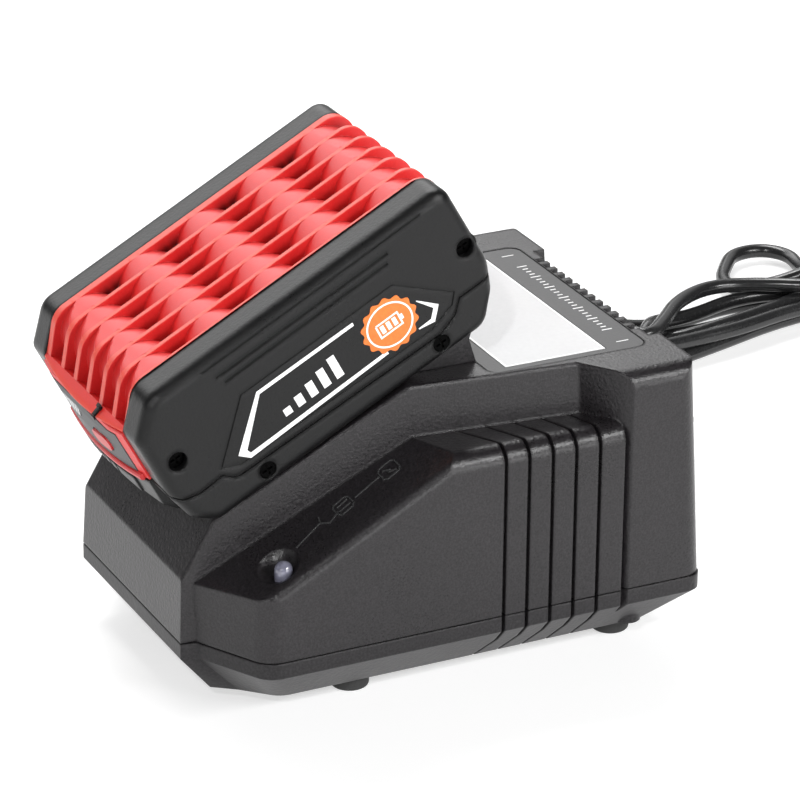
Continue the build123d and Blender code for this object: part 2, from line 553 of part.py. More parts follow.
# --- black rail shell ----------------------------------------------------------
mid = box(-60, 100, -RED_V - 0.05, RED_V + 0.05, -60, 10)
low_s = (low_half - mid) + ((outer & mid) & below_mid(-0.4))
chin = (solid_uw(face([(-36.0, -26.6), (-36.0, -30.5), (-30.2, -38.4), (-25.0, -42.8), (-18.0, -42.8), (-18.0, -36.0), (-24.0, -26.6)]), -RED_V, RED_V)
        & (Pos(107.9, 0, -20) * Cylinder(143.2, 60)))
low_s = low_s + (chin & below_mid(-0.4))
low_s = low_s + box(-20, 62.0, -33.0, 33.0, -43.5, -42.0)
hol = (pack_outer(2.2) & box(-60, 100, -60, 60, -39.1, 10)) & box(-27.2, 100, -60, 60, -60, 10)
low_s = low_s - hol - cell_room
# rail channels and the contact channel, open at the high end
low_s = low_s - box(-14.0, 90, -25.6, -21.5, -60, -40.6) - box(-14.0, 90, 21.5, 25.6, -60, -40.6)
low_s = low_s - box(-14.0, 90, -27.6, -21.5, -42.3, -40.6) - box(-14.0, 90, 21.5, 27.6, -42.3, -40.6)
low_s = low_s - box(28.5, 90, -25.6, 25.6, -60, -40.6)
for i in range(5):
    v = -14.0 + 7.0 * i
    low_s = low_s - box(13.0, 30.0, v - 1.9, v + 1.9, -43.1, -40.9)
# wedge-shaped relief over the contact block
low_s = low_s - solid_uw(face([(56.0, -50.0), (56.0, -43.5), (75.0, -43.5), (75.0, -50.0)]), -33.5, 33.5)
SHELL_SCREWS = [(-6.6, -38.4), (49.5, -38.7)]
for u, w in SHELL_SCREWS:
    for s in (-1, 1):
        low_s = low_s - cyl_y(u, w, s * 36.1, s * 40.0, 2.5)
        low_s = low_s - cyl_y(u, w, s * 30.0, s * 40.0, 1.1)
# pocket for the release latch
low_s = low_s - box(-40, -28.6, -18.4, 18.4, -33.6, -27.8)
nodes["pack_rail_shell"] = low_s

print("pack inside")
cells = []
for i in range(5):
    for w in ROW_W:
        c = cyl_y(CELL_U0 + PITCH * i, w, -CELL_L / 2, CELL_L / 2, CELL_R)
        c = c + cyl_y(CELL_U0 + PITCH * i, w, CELL_L / 2 - 0.1, CELL_L / 2 + 0.15, 3.0)
        cells.append(c)
nodes["battery_cells"] = Compound(children=cells)
hold = []
for s in (-1, 1):
    h = box(-27.4, 67.6, s * 27.3, s * 29.8, -36.5, -4.5)
    for i in range(5):
        for w in ROW_W:
            h = h - cyl_y(CELL_U0 + PITCH * i, w, s * 26, s * 31, CELL_R + 0.05)
    for u, w, rb in COVER_HOLES:
        h = h - cyl_y(u, w, s * 26, s * 31, rb + 0.3)
    h = h - (box(-40, 90, s * 26, s * 31, -60, 10) - solid_uw(offset(rounded_face(OUT, OUT_R), -3.0, kind=Kind.ARC), -45, 45)) - below(1.4)
    hold.append(h)
nodes["cell_holders"] = Compound(children=[x for h in hold for x in h.solids() if x.volume > 20])
straps = []
for s in (-1, 1):
    for i in range(5):
        u = CELL_U0 + PITCH * i
        a, b = (32.5 + 0.15, 32.8) if s > 0 else (32.5, 32.7)
        straps.append(box(u - 3.5, u + 3.5, s * a, s * b, ROW_W[1] - 3.5, ROW_W[0] + 3.5))
nodes["cell_straps"] = Compound(children=straps)
nodes["pack_board"] = box(-8.0, 50.0, 33.2, 34.4, -30.0, -8.0) + box(0, 5, 34.3, 35.0, -20, -15) + box(30, 36, 34.3, 35.0, -24, -18)
terms = []
for i in range(5):
    v = -14.0 + 7.0 * i
    t = box(14.0, 25.0, v - 1.6, v + 1.6, -43.0, -41.0) - box(15.0, 30.0, v - 3, v + 3, -42.66, -41.74)
    terms.append(t)
nodes["pack_terminals"] = Compound(children=terms)
cs = []
for s in (-1, 1):
    for u, w, rb in COVER_HOLES:
        a = cyl_y(u, w, s * 34.2, s * 35.4, 2.4) + cyl_y(u, w, s * 27.6, s * 34.3, 1.15)
        a = a - box(u - 1.5, u + 1.5, s * 34.9, s * 36, w - 0.3, w + 0.3) - box(u - 0.3, u + 0.3, s * 34.9, s * 36, w - 1.5, w + 1.5)
        cs.append(a)
nodes["cover_screws"] = Compound(children=cs)
ss = []
for s in (-1, 1):
    for u, w in SHELL_SCREWS:
        a = cyl_y(u, w, s * 36.1, s * 37.0, 2.3) + cyl_y(u, w, s * 33.2, s * 36.2, 1.05)
        a = a - box(u - 1.5, u + 1.5, s * 36.5, s * 38, w - 0.3, w + 0.3) - box(u - 0.3, u + 0.3, s * 36.5, s * 38, w - 1.5, w + 1.5)
        ss.append(a)
nodes["shell_screws"] = Compound(children=ss)

print("gauge and latch")
GP = box(-36, -31.3, -22.4, 22.4, -24.8, -11.75) & (Pos(107.9, 0, -20) * Cylinder(143.0, 60)) & (Pos(-0.15, 0, 0) * nose)
WIN = (3.0, 17.5, -16.4, -13.6)
BTN = (SW_V, -18.8)
btn_face = Pos(BTN[0], BTN[1]) * SlotOverall(9.6, 5.0)
btn_slot = extrude(Plane(origin=(-40, 0, 0), x_dir=(0, 1, 0), z_dir=(1, 0, 0)) * (Pos(BTN[0], BTN[1]) * SlotOverall(10.2, 5.6)), 12)
gp = GP - box(-40, -31.0, WIN[0], WIN[1], WIN[2], WIN[3]) - btn_slot
nodes["gauge_panel"] = gp
nodes["gauge_window"] = box(-36, -31.35, WIN[0] + 0.08, WIN[1] - 0.08, WIN[2] + 0.08, WIN[3] - 0.08) & (Pos(108.0, 0, -20) * Cylinder(143.0, 60)) & (Pos(-0.05, 0, 0) * nose)
btn = extrude(Plane(origin=(-38, 0, 0), x_dir=(0, 1, 0), z_dir=(1, 0, 0)) * btn_face, 38 - 32.3) & (Pos(107.0, 0, -20) * Cylinder(142.6, 60))
nodes["gauge_button"] = btn
sw = box(-31.0, -27.1, SW_V - 6.0, SW_V + 6.0, -22.2, -14.8) + cyl_x(SW_V, BTN[1], -31.25, -30.9, 1.6)
nodes["gauge_switch"] = sw & box(-31.25, -27.0, -40, 40, -40, 0)

latch = solid_uw(face([(-36.5, -28.1), (-34.6, -33.3), (-31.4, -33.3), (-31.4, -28.1)]), -18.0, 18.0) & (Pos(107.2, 0, -20) * Cylinder(142.9, 60))
LATCH_SPRINGS = (-9.0, 9.0)
for v in LATCH_SPRINGS:
    latch = latch - cyl_x(v, -30.7, -33.7, -30.0, 1.6)
for k in range(5):
    latch = latch - box(-40, -35.0 + 0.1 * abs(k - 2), -8.0 + 4.0 * k - 0.6, -8.0 + 4.0 * k + 0.6, -34, -27)
nodes["release_latch"] = latch
springs = []
for v in LATCH_SPRINGS:
    springs.append(cyl_x(v, -30.7, -31.35, -28.62, 1.35) - cyl_x(v, -30.7, -32, -28, 0.85))
nodes["latch_spring"] = Compound(children=springs)

PACK_NODES = ["pack_cell_case", "pack_near_cover", "pack_far_cover", "pack_rail_shell", "battery_cells", "cell_holders", "cell_straps",
              "pack_board", "pack_terminals", "cover_screws", "shell_screws", "gauge_panel", "gauge_window", "gauge_switch",
              "gauge_button", "release_latch", "latch_spring"]
for n in PACK_NODES:
    nodes[n] = to_world(nodes[n])

# ---------------------------------------------------------------------------
# origin: bottom centre of the object without its cord
# ---------------------------------------------------------------------------
x0 = min(nodes[n].bounding_box().min.X for n in nodes)
x1 = max(nodes[n].bounding_box().max.X for n in nodes)
SHIFT = -(x0 + x1) / 2
print("x extents", round(x0, 3), round(x1, 3), "shift", round(SHIFT, 4))

# ---------------------------------------------------------------------------
# cord
# ---------------------------------------------------------------------------
print("cord")
CZ = CORD_D / 2 + FLOOR_CORD
HANK = [(212.8, 109.0), (238.0, 107.0), (300.0, 109.0), (330.0, 108.0), (344.0, 118.0), (344.0, 160.0), (334.0, 172.0), (316.0, 178.0), (304.0, 182.5),
        (288.0, 182.5), (268.0, 170.0), (260.0, 152.0), (230.0, 143.0), (212.8, 135.0)]
HANK_H = 14.4
ROUTE = [(SLEEVE_END, CORD_Y, CORD_Z), (177.4, 33.0, 20.2), (189.3, 38.4, 17.9), (197.1, 48.2, 13.8), (199.1, 60.4, 9.3), (195.2, 72.4, 5.2),
         (186.3, 81.7, CZ), (180.8, 91.8, CZ), (179.7, 103.3, CZ), (183.1, 114.4, CZ), (190.7, 123.1, CZ), (201.3, 127.8, CZ), (212.8, 127.8, CZ)]


def tube(points, d):
    v = [Vector(*p) for p in points]
    radii = []
    for i in range(1, len(v) - 1):
        a, b = v[i] - v[i - 1], v[i + 1] - v[i]
        turn = a.get_angle(b)
        r = 0.45 * min(a.length, b.length) / math.tan(math.radians(turn / 2))
        radii.append(r)
    print("  runs", [round((v[i + 1] - v[i]).length, 1) for i in range(len(v) - 1)])
    print("  radii", [round(r, 1) for r in radii], "least allowed", 5 * d)
    path = FilletPolyline(*points, radius=radii)
    sec = Plane(origin=path @ 0, z_dir=path % 0) * Circle(d / 2)
    s = sweep(sec, path=path)
    print("  length", round(path.length, 1), "volume ratio", round(s.volume / (math.pi * d * d / 4 * path.length), 4))
    return s


nodes["mains_cord"] = tube(ROUTE, CORD_D)
hank = extrude(Plane((0, 0, FLOOR_CORD)) * rounded_face(HANK, {1: 12.0, 3: 8.0, 4: 6.0, 5: 8.0, 6: 6.0, 7: 6.0, 8: 5.0, 9: 8.0, 10: 8.0, 11: 6.0, 12: 10.0}), HANK_H)
hank = try_fillet(hank, hank.edges().group_by(Axis.Z)[-1], 2.0)
nodes["cord_coil"] = hank

# two-pin plug lying on its flat side beyond the folded cord
PLUG_Y, PLUG_Z, PX = 133.0, 7.05, 344.0


def ring_at(x, w, h, r):
    return Plane(origin=(x, PLUG_Y, PLUG_Z), x_dir=(0, 1, 0), z_dir=(1, 0, 0)) * RectangleRounded(w, h, r)


plug = loft([ring_at(PX + 16.0, 15.0, 11.0, 4.5), ring_at(PX + 30.0, 35.3, 13.7, 4.5)], ruled=True)
plug = plug + extrude(ring_at(PX + 30.0, 35.3, 13.7, 4.5), 9.0)
plug = plug + loft([Plane(origin=(PX, PLUG_Y, PLUG_Z), z_dir=(1, 0, 0)) * Circle(3.3), Plane(origin=(PX + 16.2, PLUG_Y, PLUG_Z), z_dir=(1, 0, 0)) * Circle(4.8)], ruled=True)
for i in range(4):
    xg = PX + 3.0 + 3.2 * i
    plug = plug - (cyl_x(PLUG_Y, PLUG_Z, xg, xg + 1.2, 6.5) - cyl_x(PLUG_Y, PLUG_Z, xg, xg + 1.2, 2.9))
pins = []
for s in (-1, 1):
    pin = cyl_x(PLUG_Y + s * 9.3, PLUG_Z, PX + 29.0, PX + 58.0, 2.0)
    pin = try_fillet(pin, pin.edges().group_by(Axis.X)[-1], 1.0)
    plug = plug - pin
    pins.append(pin)
nodes["plug_body"] = plug
nodes["plug_pins"] = Compound(children=pins)

# strain relief: collar in the rear wall, tapered sleeve outside
sleeve = loft([Plane(origin=(REAR_LOW + 0.6, CORD_Y, CORD_Z), z_dir=(1, 0, 0)) * Circle(4.5),
               Plane(origin=(SLEEVE_END, CORD_Y, CORD_Z), z_dir=(1, 0, 0)) * Circle(3.1)], ruled=True)
sleeve = sleeve + cyl_x(CORD_Y, CORD_Z, 126.0, REAR_LOW + 0.7, 4.5)
for i in range(5):
    xg = 146.4 + 3.3 * i
    sleeve = sleeve - (cyl_x(CORD_Y, CORD_Z, xg, xg + 1.3, 6.0) - cyl_x(CORD_Y, CORD_Z, xg, xg + 1.3, 2.9))
nodes["strain_relief"] = sleeve

for n in nodes:
    nodes[n] = Pos(SHIFT, 0, 0) * nodes[n]

for n, p in nodes.items():
    export_step(p if isinstance(p, (Compound, Solid, Part)) else Part(p.wrapped), f"parts/{n}.step")
    bb = p.bounding_box()
    print(f"{n:22s} solids {len(p.solids())}  vol {p.volume:10.1f}  x {bb.min.X:7.1f} {bb.max.X:7.1f}  y {bb.min.Y:7.1f} {bb.max.Y:7.1f}  z {bb.min.Z:6.1f} {bb.max.Z:6.1f}")
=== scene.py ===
import json
import math
import bpy
import bmesh
from mathutils import Matrix, Vector


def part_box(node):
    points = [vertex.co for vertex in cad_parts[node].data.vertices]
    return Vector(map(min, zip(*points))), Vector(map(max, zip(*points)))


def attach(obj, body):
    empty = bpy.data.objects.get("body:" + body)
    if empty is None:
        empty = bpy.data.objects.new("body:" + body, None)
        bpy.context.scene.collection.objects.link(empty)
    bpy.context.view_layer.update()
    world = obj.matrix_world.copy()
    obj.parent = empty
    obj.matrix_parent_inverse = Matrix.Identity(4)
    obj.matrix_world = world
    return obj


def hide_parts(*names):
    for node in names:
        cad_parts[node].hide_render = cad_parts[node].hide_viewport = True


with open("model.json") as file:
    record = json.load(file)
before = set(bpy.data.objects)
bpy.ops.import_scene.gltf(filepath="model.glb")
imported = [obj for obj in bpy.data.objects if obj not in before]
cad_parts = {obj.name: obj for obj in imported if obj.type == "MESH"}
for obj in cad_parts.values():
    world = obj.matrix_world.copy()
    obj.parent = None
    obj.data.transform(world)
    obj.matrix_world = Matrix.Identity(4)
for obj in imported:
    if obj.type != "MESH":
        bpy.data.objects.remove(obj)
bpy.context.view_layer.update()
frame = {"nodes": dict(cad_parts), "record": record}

S = -64.4188            # the part's shift along x, in millimetres
NODES = frame["nodes"]
col = bpy.context.scene.collection
bpy.context.scene.view_settings.view_transform = "Standard"


def P(x, y, z):
    """Millimetres from the front top edge to metres in the row frame."""
    return Vector(((x + S) / 1000, y / 1000, z / 1000))


TILT = math.radians(28.437)
CT, ST = math.cos(TILT), math.sin(TILT)


def K(u, v, w):
    """Pack axes in millimetres to metres in the row frame."""
    return P(9.957 + u * CT - w * ST, v, 104.001 + u * ST + w * CT)


# ---------------------------------------------------------------- camera
az, el, roll, f = math.radians(-26.246), math.radians(23.874), math.radians(0.514), 4244.0
th = -az
d = Vector((math.sin(th) * math.cos(el), math.cos(th) * math.cos(el), -math.sin(el)))
r = Vector((math.cos(th), -math.sin(th), 0))
u = r.cross(d)
r2 = math.cos(roll) * r + math.sin(roll) * u
u2 = -math.sin(roll) * r + math.cos(roll) * u
cam_data = bpy.data.cameras.new("camera")
cam_data.sensor_fit = "HORIZONTAL"
cam_data.sensor_width = 36.0
cam_data.lens = f / 800 * 36.0
cam_data.clip_start, cam_data.clip_end = 0.05, 60
cam = bpy.data.objects.new("camera", cam_data)
m = Matrix((r2, u2, -d)).transposed().to_4x4()
m.translation = P(-384.633, -939.095, 524.732)
cam.matrix_world = m
col.objects.link(cam)
bpy.context.scene.camera = cam


# ---------------------------------------------------------------- materials
class M:
    """Small helper to write node materials."""

    def __init__(self, name):
        self.m = bpy.data.materials.new(name)
        self.m.use_nodes = True
        self.t = self.m.node_tree
        self.b = self.t.nodes["Principled BSDF"]
        self.c = self.n("ShaderNodeTexCoord").outputs["Object"]

    def n(self, kind, **kw):
        x = self.t.nodes.new(kind)
        for k, v in kw.items():
            setattr(x, k, v)
        return x

    def l(self, a, b):
        self.t.links.new(a, b)

    def noise(self, scale, detail=3.0, rough=0.5, vec=None):
        x = self.n("ShaderNodeTexNoise")
        x.inputs["Scale"].default_value = scale
        x.inputs["Detail"].default_value = detail
        x.inputs["Roughness"].default_value = rough
        self.l(vec or self.c, x.inputs["Vector"])
        return x.outputs["Fac"]

    def voronoi(self, scale, feature="F1"):
        x = self.n("ShaderNodeTexVoronoi", feature=feature)
        x.inputs["Scale"].default_value = scale
        self.l(self.c, x.inputs["Vector"])
        return x.outputs["Distance"]

    def ramp(self, fac, stops):
        x = self.n("ShaderNodeValToRGB")
        e = x.color_ramp.elements
        e[0].position, e[0].color = stops[0][0], (*stops[0][1], 1)
        e[1].position, e[1].color = stops[-1][0], (*stops[-1][1], 1)
        for p, c in stops[1:-1]:
            q = e.new(p)
            q.color = (*c, 1)
        self.l(fac, x.inputs["Fac"])
        return x.outputs["Color"]

    def rng(self, fac, a, b, lo=0.0, hi=1.0):
        x = self.n("ShaderNodeMapRange")
        x.inputs["From Min"].default_value, x.inputs["From Max"].default_value = lo, hi
        x.inputs["To Min"].default_value, x.inputs["To Max"].default_value = a, b
        self.l(fac, x.inputs["Value"])
        return x.outputs["Result"]

    def mix(self, fac, a, b, blend="MIX"):
        x = self.n("ShaderNodeMix", data_type="RGBA", blend_type=blend)
        for s, v in ((0, fac), (6, a), (7, b)):
            if isinstance(v, (float, int)):
                x.inputs[s].default_value = v
            elif isinstance(v, tuple):
                x.inputs[s].default_value = (*v, 1)
            else:
                self.l(v, x.inputs[s])
        return x.outputs[2]

    def math(self, op, a, b=None):
        x = self.n("ShaderNodeMath", operation=op)
        for i, v in enumerate((a, b)):
            if v is None:
                continue
            if isinstance(v, (float, int)):
                x.inputs[i].default_value = v
            else:
                self.l(v, x.inputs[i])
        return x.outputs[0]

    def bevel(self, radius):
        x = self.n("ShaderNodeBevel", samples=4)
        x.inputs["Radius"].default_value = radius / 1000
        return x.outputs["Normal"]

    def bump(self, height, strength, dist=0.00005, normal=None):
        x = self.n("ShaderNodeBump")
        x.inputs["Strength"].default_value = strength
        x.inputs["Distance"].default_value = dist
        self.l(height, x.inputs["Height"])
        if normal is not None:
            self.l(normal, x.inputs["Normal"])
        return x.outputs["Normal"]

    def set(self, **kw):
        for k, v in kw.items():
            s = self.b.inputs[k.replace("_", " ")]
            if hasattr(v, "is_linked"):
                self.l(v, s)
            else:
                s.default_value = (*v, 1) if k.endswith("Color") else v
        return self.m


def plastic(name, dark, light, rough=(0.42, 0.55), grain=2600.0, depth=0.35, radius=0.35, spec=0.5, speck=0.0, painted_groove_shade=0.0):
    """Moulded plastic: fine spark grain, faint flow marks, softened edges, optional painted shade in narrow grooves."""
    k = M(name)
    big = k.noise(28, 4, 0.6)
    fine = k.noise(grain, 2, 0.6)
    grit = k.voronoi(grain * 0.55)
    c = k.ramp(k.mix(0.55, big, fine), [(0.3, dark), (0.7, light)])
    if speck:
        sp = k.rng(fine, 1.0 - speck, 1.0 + speck, 0.38, 0.62)
        c = k.mix(1.0, c, sp, "MULTIPLY")
    h = k.mix(0.5, fine, grit)
    if painted_groove_shade:
        # painted shade: ambient occlusion darkens the colour in narrow grooves
        ao = k.n("ShaderNodeAmbientOcclusion", samples=6, only_local=True)
        ao.inputs["Distance"].default_value = painted_groove_shade / 1000
        shade = k.rng(ao.outputs["AO"], 0.05, 1.0, 0.35, 0.85)
        c = k.mix(1.0, c, shade, "MULTIPLY")
    return k.set(Base_Color=c, Roughness=k.rng(k.mix(0.5, big, fine), rough[0], rough[1], 0.3, 0.7), Specular_IOR_Level=spec,
                 Normal=k.bump(h, depth, 0.0001, k.bevel(radius)))


MATS = {}
MATS["housing"] = plastic("housing_black", (0.0092, 0.0080, 0.0090), (0.0150, 0.0132, 0.0148), rough=(0.25, 0.35), grain=1900, depth=0.9, radius=1.15, speck=0.35, spec=0.42)
MATS["base"] = plastic("base_black", (0.010, 0.009, 0.010), (0.016, 0.0145, 0.016), rough=(0.32, 0.44), grain=1500, depth=0.8, radius=0.8, speck=0.35, spec=0.34)
MATS["pack"] = plastic("pack_black", (0.003, 0.003, 0.0032), (0.006, 0.006, 0.0062), rough=(0.25, 0.36), grain=1900, depth=0.5, radius=2.0, spec=0.29, painted_groove_shade=1.3)
MATS["sign"] = plastic("sign_gloss", (0.03, 0.03, 0.031), (0.045, 0.045, 0.046), rough=(0.2, 0.3), grain=1500, depth=0.2, radius=0.1)
MATS["panel"] = plastic("panel_grey", (0.018, 0.018, 0.019), (0.028, 0.028, 0.029), rough=(0.34, 0.42), grain=2400, depth=0.25, radius=0.25)
MATS["sticker"] = plastic("sticker_white", (0.56, 0.56, 0.565), (0.61, 0.61, 0.615), rough=(0.42, 0.5), grain=700, depth=0.05, radius=0.1, spec=0.3)
MATS["edge_white"] = plastic("print_white", (0.80, 0.80, 0.80), (0.88, 0.88, 0.88), rough=(0.4, 0.5), grain=2500, depth=0.08, radius=0.05, spec=0.3)
MATS["gauge"] = plastic("gauge_grey", (0.045, 0.045, 0.047), (0.065, 0.065, 0.067), rough=(0.42, 0.55), grain=2400, depth=0.4)
MATS["rubber"] = plastic("cord_rubber", (0.013, 0.013, 0.0135), (0.021, 0.021, 0.0215), rough=(0.20, 0.30), grain=700, depth=0.03, radius=0.15)
MATS["foot"] = plastic("foot_rubber", (0.012, 0.012, 0.012), (0.022, 0.022, 0.022), rough=(0.6, 0.75), grain=1400, depth=0.5)
MATS["holder"] = plastic("holder_grey", (0.12, 0.12, 0.125), (0.17, 0.17, 0.175), rough=(0.45, 0.6))
MATS["wire"] = plastic("wire_red", (0.40, 0.02, 0.02), (0.50, 0.03, 0.03), rough=(0.3, 0.4), grain=2000, depth=0.1, radius=0.1)
MATS["tape"] = plastic("tape_yellow", (0.62, 0.44, 0.05), (0.72, 0.53, 0.08), rough=(0.3, 0.42), grain=1200, depth=0.2, radius=0.2)
MATS["sleeve"] = plastic("cap_sleeve", (0.012, 0.02, 0.05), (0.02, 0.03, 0.07), rough=(0.22, 0.32), grain=1200, depth=0.15, radius=0.2)
MATS["chip"] = plastic("chip_black", (0.012, 0.012, 0.012), (0.02, 0.02, 0.02), rough=(0.5, 0.62), grain=3000, depth=0.4, radius=0.15)
MATS["ferrite"] = plastic("ferrite", (0.03, 0.03, 0.032), (0.06, 0.058, 0.056), rough=(0.5, 0.7), grain=900, depth=0.8, radius=0.2)
MATS["cell"] = plastic("cell_case", (0.05, 0.22, 0.34), (0.06, 0.27, 0.40), rough=(0.25, 0.35), grain=1000, depth=0.1, radius=0.2)
MATS["button"] = plastic("button_red", (0.50, 0.016, 0.020), (0.60, 0.03, 0.03), rough=(0.3, 0.42), grain=2400, depth=0.2, radius=0.35)
MATS["badge"] = plastic("badge_orange", (0.62, 0.13, 0.012), (0.74, 0.19, 0.02), rough=(0.3, 0.4), grain=1500, depth=0.08, radius=0.05)


def metal(name, dark, light, rough=(0.22, 0.4), streak=(40, 40, 2400), depth=0.25, radius=0.15):
    """Drawn or turned metal with fine streaks along one axis."""
    k = M(name)
    mp = k.n("ShaderNodeMapping")
    k.l(k.c, mp.inputs["Vector"])
    mp.inputs["Scale"].default_value = streak
    s = k.noise(1.0, 5, 0.65, mp.outputs["Vector"])
    g = k.noise(300, 3)
    c = k.ramp(k.mix(0.6, g, s), [(0.3, dark), (0.7, light)])
    return k.set(Base_Color=c, Metallic=1.0, Roughness=k.rng(s, rough[0], rough[1], 0.3, 0.7), Normal=k.bump(s, depth, 0.00003, k.bevel(radius)))


MATS["steel"] = metal("screw_steel", (0.16, 0.16, 0.165), (0.28, 0.28, 0.285))
# near-black oxide finish, made dark enough that the heads in the nose holes stand in as painted shade of deep holes
MATS["black_screw"] = metal("cover_screw_black", (0.0015, 0.0015, 0.0015), (0.005, 0.005, 0.005), rough=(0.3, 0.45))
MATS["blade"] = metal("blade_metal", (0.52, 0.47, 0.36), (0.68, 0.62, 0.50))
MATS["nickel"] = metal("nickel", (0.50, 0.49, 0.46), (0.66, 0.65, 0.61))
MATS["alu"] = metal("alu", (0.58, 0.58, 0.59), (0.72, 0.72, 0.73), rough=(0.3, 0.5))
MATS["copper"] = metal("copper", (0.48, 0.18, 0.08), (0.66, 0.27, 0.13), streak=(2600, 60, 60))
MATS["spring"] = metal("spring_steel", (0.40, 0.40, 0.41), (0.55, 0.55, 0.56), rough=(0.18, 0.3))
MATS["pin"] = metal("pin_nickel", (0.55, 0.54, 0.51), (0.70, 0.69, 0.66), rough=(0.12, 0.25), depth=0.1)

# circuit board: solder mask over faint copper lanes
k = M("board_green")
lanes = k.n("ShaderNodeTexBrick")
k.l(k.c, lanes.inputs["Vector"])
lanes.inputs["Scale"].default_value = 220
lanes.inputs["Mortar Size"].default_value = 0.03
lanes.inputs["Color1"].default_value = (0.008, 0.10, 0.035, 1)
lanes.inputs["Color2"].default_value = (0.010, 0.13, 0.045, 1)
lanes.inputs["Mortar"].default_value = (0.02, 0.20, 0.06, 1)
MATS["board"] = k.set(Base_Color=k.mix(k.noise(400, 3), lanes.outputs["Color"], (0.006, 0.07, 0.025)), Roughness=k.rng(k.noise(120, 3), 0.22, 0.36),
                      Normal=k.bump(lanes.outputs["Fac"], 0.3, 0.00004))

# glass of the fuse
k = M("fuse_glass")
MATS["glass"] = k.set(Base_Color=k.ramp(k.noise(500, 3), [(0.3, (0.60, 0.62, 0.60)), (0.7, (0.75, 0.77, 0.75))]), Roughness=k.rng(k.noise(90, 2), 0.04, 0.10),
                      Transmission_Weight=0.7, IOR=1.5)

# milky lens of the status light
k = M("lens")
MATS["lens"] = k.set(Base_Color=k.ramp(k.noise(700, 3), [(0.3, (0.13, 0.13, 0.17)), (0.7, (0.19, 0.19, 0.25))]), Roughness=k.rng(k.noise(500, 2), 0.05, 0.11),
                     Coat_Weight=1.0, Coat_Roughness=0.03, Subsurface_Weight=0.25, Subsurface_Radius=(0.002, 0.002, 0.002), Subsurface_Scale=0.6)
k = M("led")
MATS["led"] = k.set(Base_Color=k.ramp(k.noise(900, 2), [(0.3, (0.50, 0.52, 0.48)), (0.7, (0.62, 0.64, 0.60))]), Roughness=k.rng(k.noise(300, 2), 0.15, 0.25))

# smoked window over the charge gauge: fine cross lines
k = M("smoke_window")
w = k.n("ShaderNodeTexWave", wave_type="BANDS", bands_direction="Y")
k.l(k.c, w.inputs["Vector"])
w.inputs["Scale"].default_value = 160
w.inputs["Distortion"].default_value = 0.2
MATS["smoke"] = k.set(Base_Color=k.ramp(w.outputs["Fac"], [(0.35, (0.16, 0.16, 0.165)), (0.65, (0.50, 0.50, 0.51))]), Roughness=k.rng(k.noise(600, 2), 0.14, 0.24),
                      Normal=k.bump(w.outputs["Fac"], 0.5, 0.0001))

# red case: painted shade darkens the colour down in the pockets and on the fins' near faces, painted highlight lightens
# the fin tops and the ledge rim
k = M("pack_red")
at = k.n("ShaderNodeAttribute", attribute_name="painted_shade_and_highlight")
big, fine = k.noise(40, 4, 0.6), k.noise(1700, 2, 0.6)
base = k.ramp(k.mix(0.5, big, fine), [(0.3, (0.60, 0.012, 0.014)), (0.7, (0.70, 0.024, 0.022))])
# painted highlight: values below zero lighten the fin tops and the ledge rim towards salmon
painted_ridge_highlight = k.rng(at.outputs["Fac"], 0.0, 0.55, 0.0, -1.0)
c = k.mix(painted_ridge_highlight, base, (0.74, 0.10, 0.055))
# painted shade: values above zero darken the colour towards near-black down in the pockets
c = k.mix(k.rng(at.outputs["Fac"], 0.0, 1.0), c, (0.012, 0.0008, 0.001))
MATS["red"] = k.set(Base_Color=c, Roughness=k.rng(k.mix(0.5, big, fine), 0.36, 0.50, 0.3, 0.7), Specular_IOR_Level=0.58, Normal=k.bump(fine, 0.35, 0.00006, k.bevel(0.16)))

BY_SLOT = {"housing_black": "housing", "base_black": "base", "foot_rubber": "foot", "panel_grey": "panel", "sticker": "sticker", "lens": "lens", "led": "led",
           "blade_metal": "blade", "board_green": "board", "ferrite": "ferrite", "tape_yellow": "tape", "cap_sleeve": "sleeve", "alu": "alu",
           "chip_black": "chip", "fuse_glass": "glass", "copper": "copper", "wire_red": "wire", "screw_steel": "steel", "pack_black": "pack",
           "pack_red": "red", "cell_case": "cell", "holder_grey": "holder", "nickel": "nickel", "gauge_grey": "gauge", "smoke_window": "smoke",
           "button_red": "button", "spring_steel": "spring", "cord_rubber": "rubber", "pin_nickel": "pin"}
SLOT = {s["node"]: s["material_slot"] for s in frame["record"]["subparts"]}
for n, o in NODES.items():
    o.data.materials.clear()
    o.data.materials.append(MATS[BY_SLOT[SLOT[n]]])
for n in ("cover_screws", "shell_screws"):
    NODES[n].data.materials[0] = MATS["black_screw"]


# ---------------------------------------------------------------- modelling helpers
def piece(name, verts, faces, mat, body, smooth=False):
    me = bpy.data.meshes.new(name)
    me.from_pydata([tuple(v) for v in verts], [], faces)
    me.update()
    b = bmesh.new()
    b.from_mesh(me)
    bmesh.ops.recalc_face_normals(b, faces=b.faces)
    b.to_mesh(me)
    b.free()
    if smooth:
        me.shade_smooth()
    o = bpy.data.objects.new(name, me)
    col.objects.link(o)
    me.materials.append(MATS[mat])
    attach(o, body)
    return o


def plates(name, shapes, lift, mat, body):
    """Closed thin plates: each shape is a list of corners, lift moves a corner off the surface."""
    V, F = [], []
    for shp in shapes:
        n, k0 = len(shp), len(V)
        V += [q for q in shp] + [q + lift for q in shp]
        F.append(list(range(k0 + n, k0 + 2 * n)))
        F.append(list(range(k0 + n - 1, k0 - 1, -1)))
        F += [[k0 + i, k0 + (i + 1) % n, k0 + n + (i + 1) % n, k0 + n + i] for i in range(n)]
    return piece(name, V, F, mat, body)


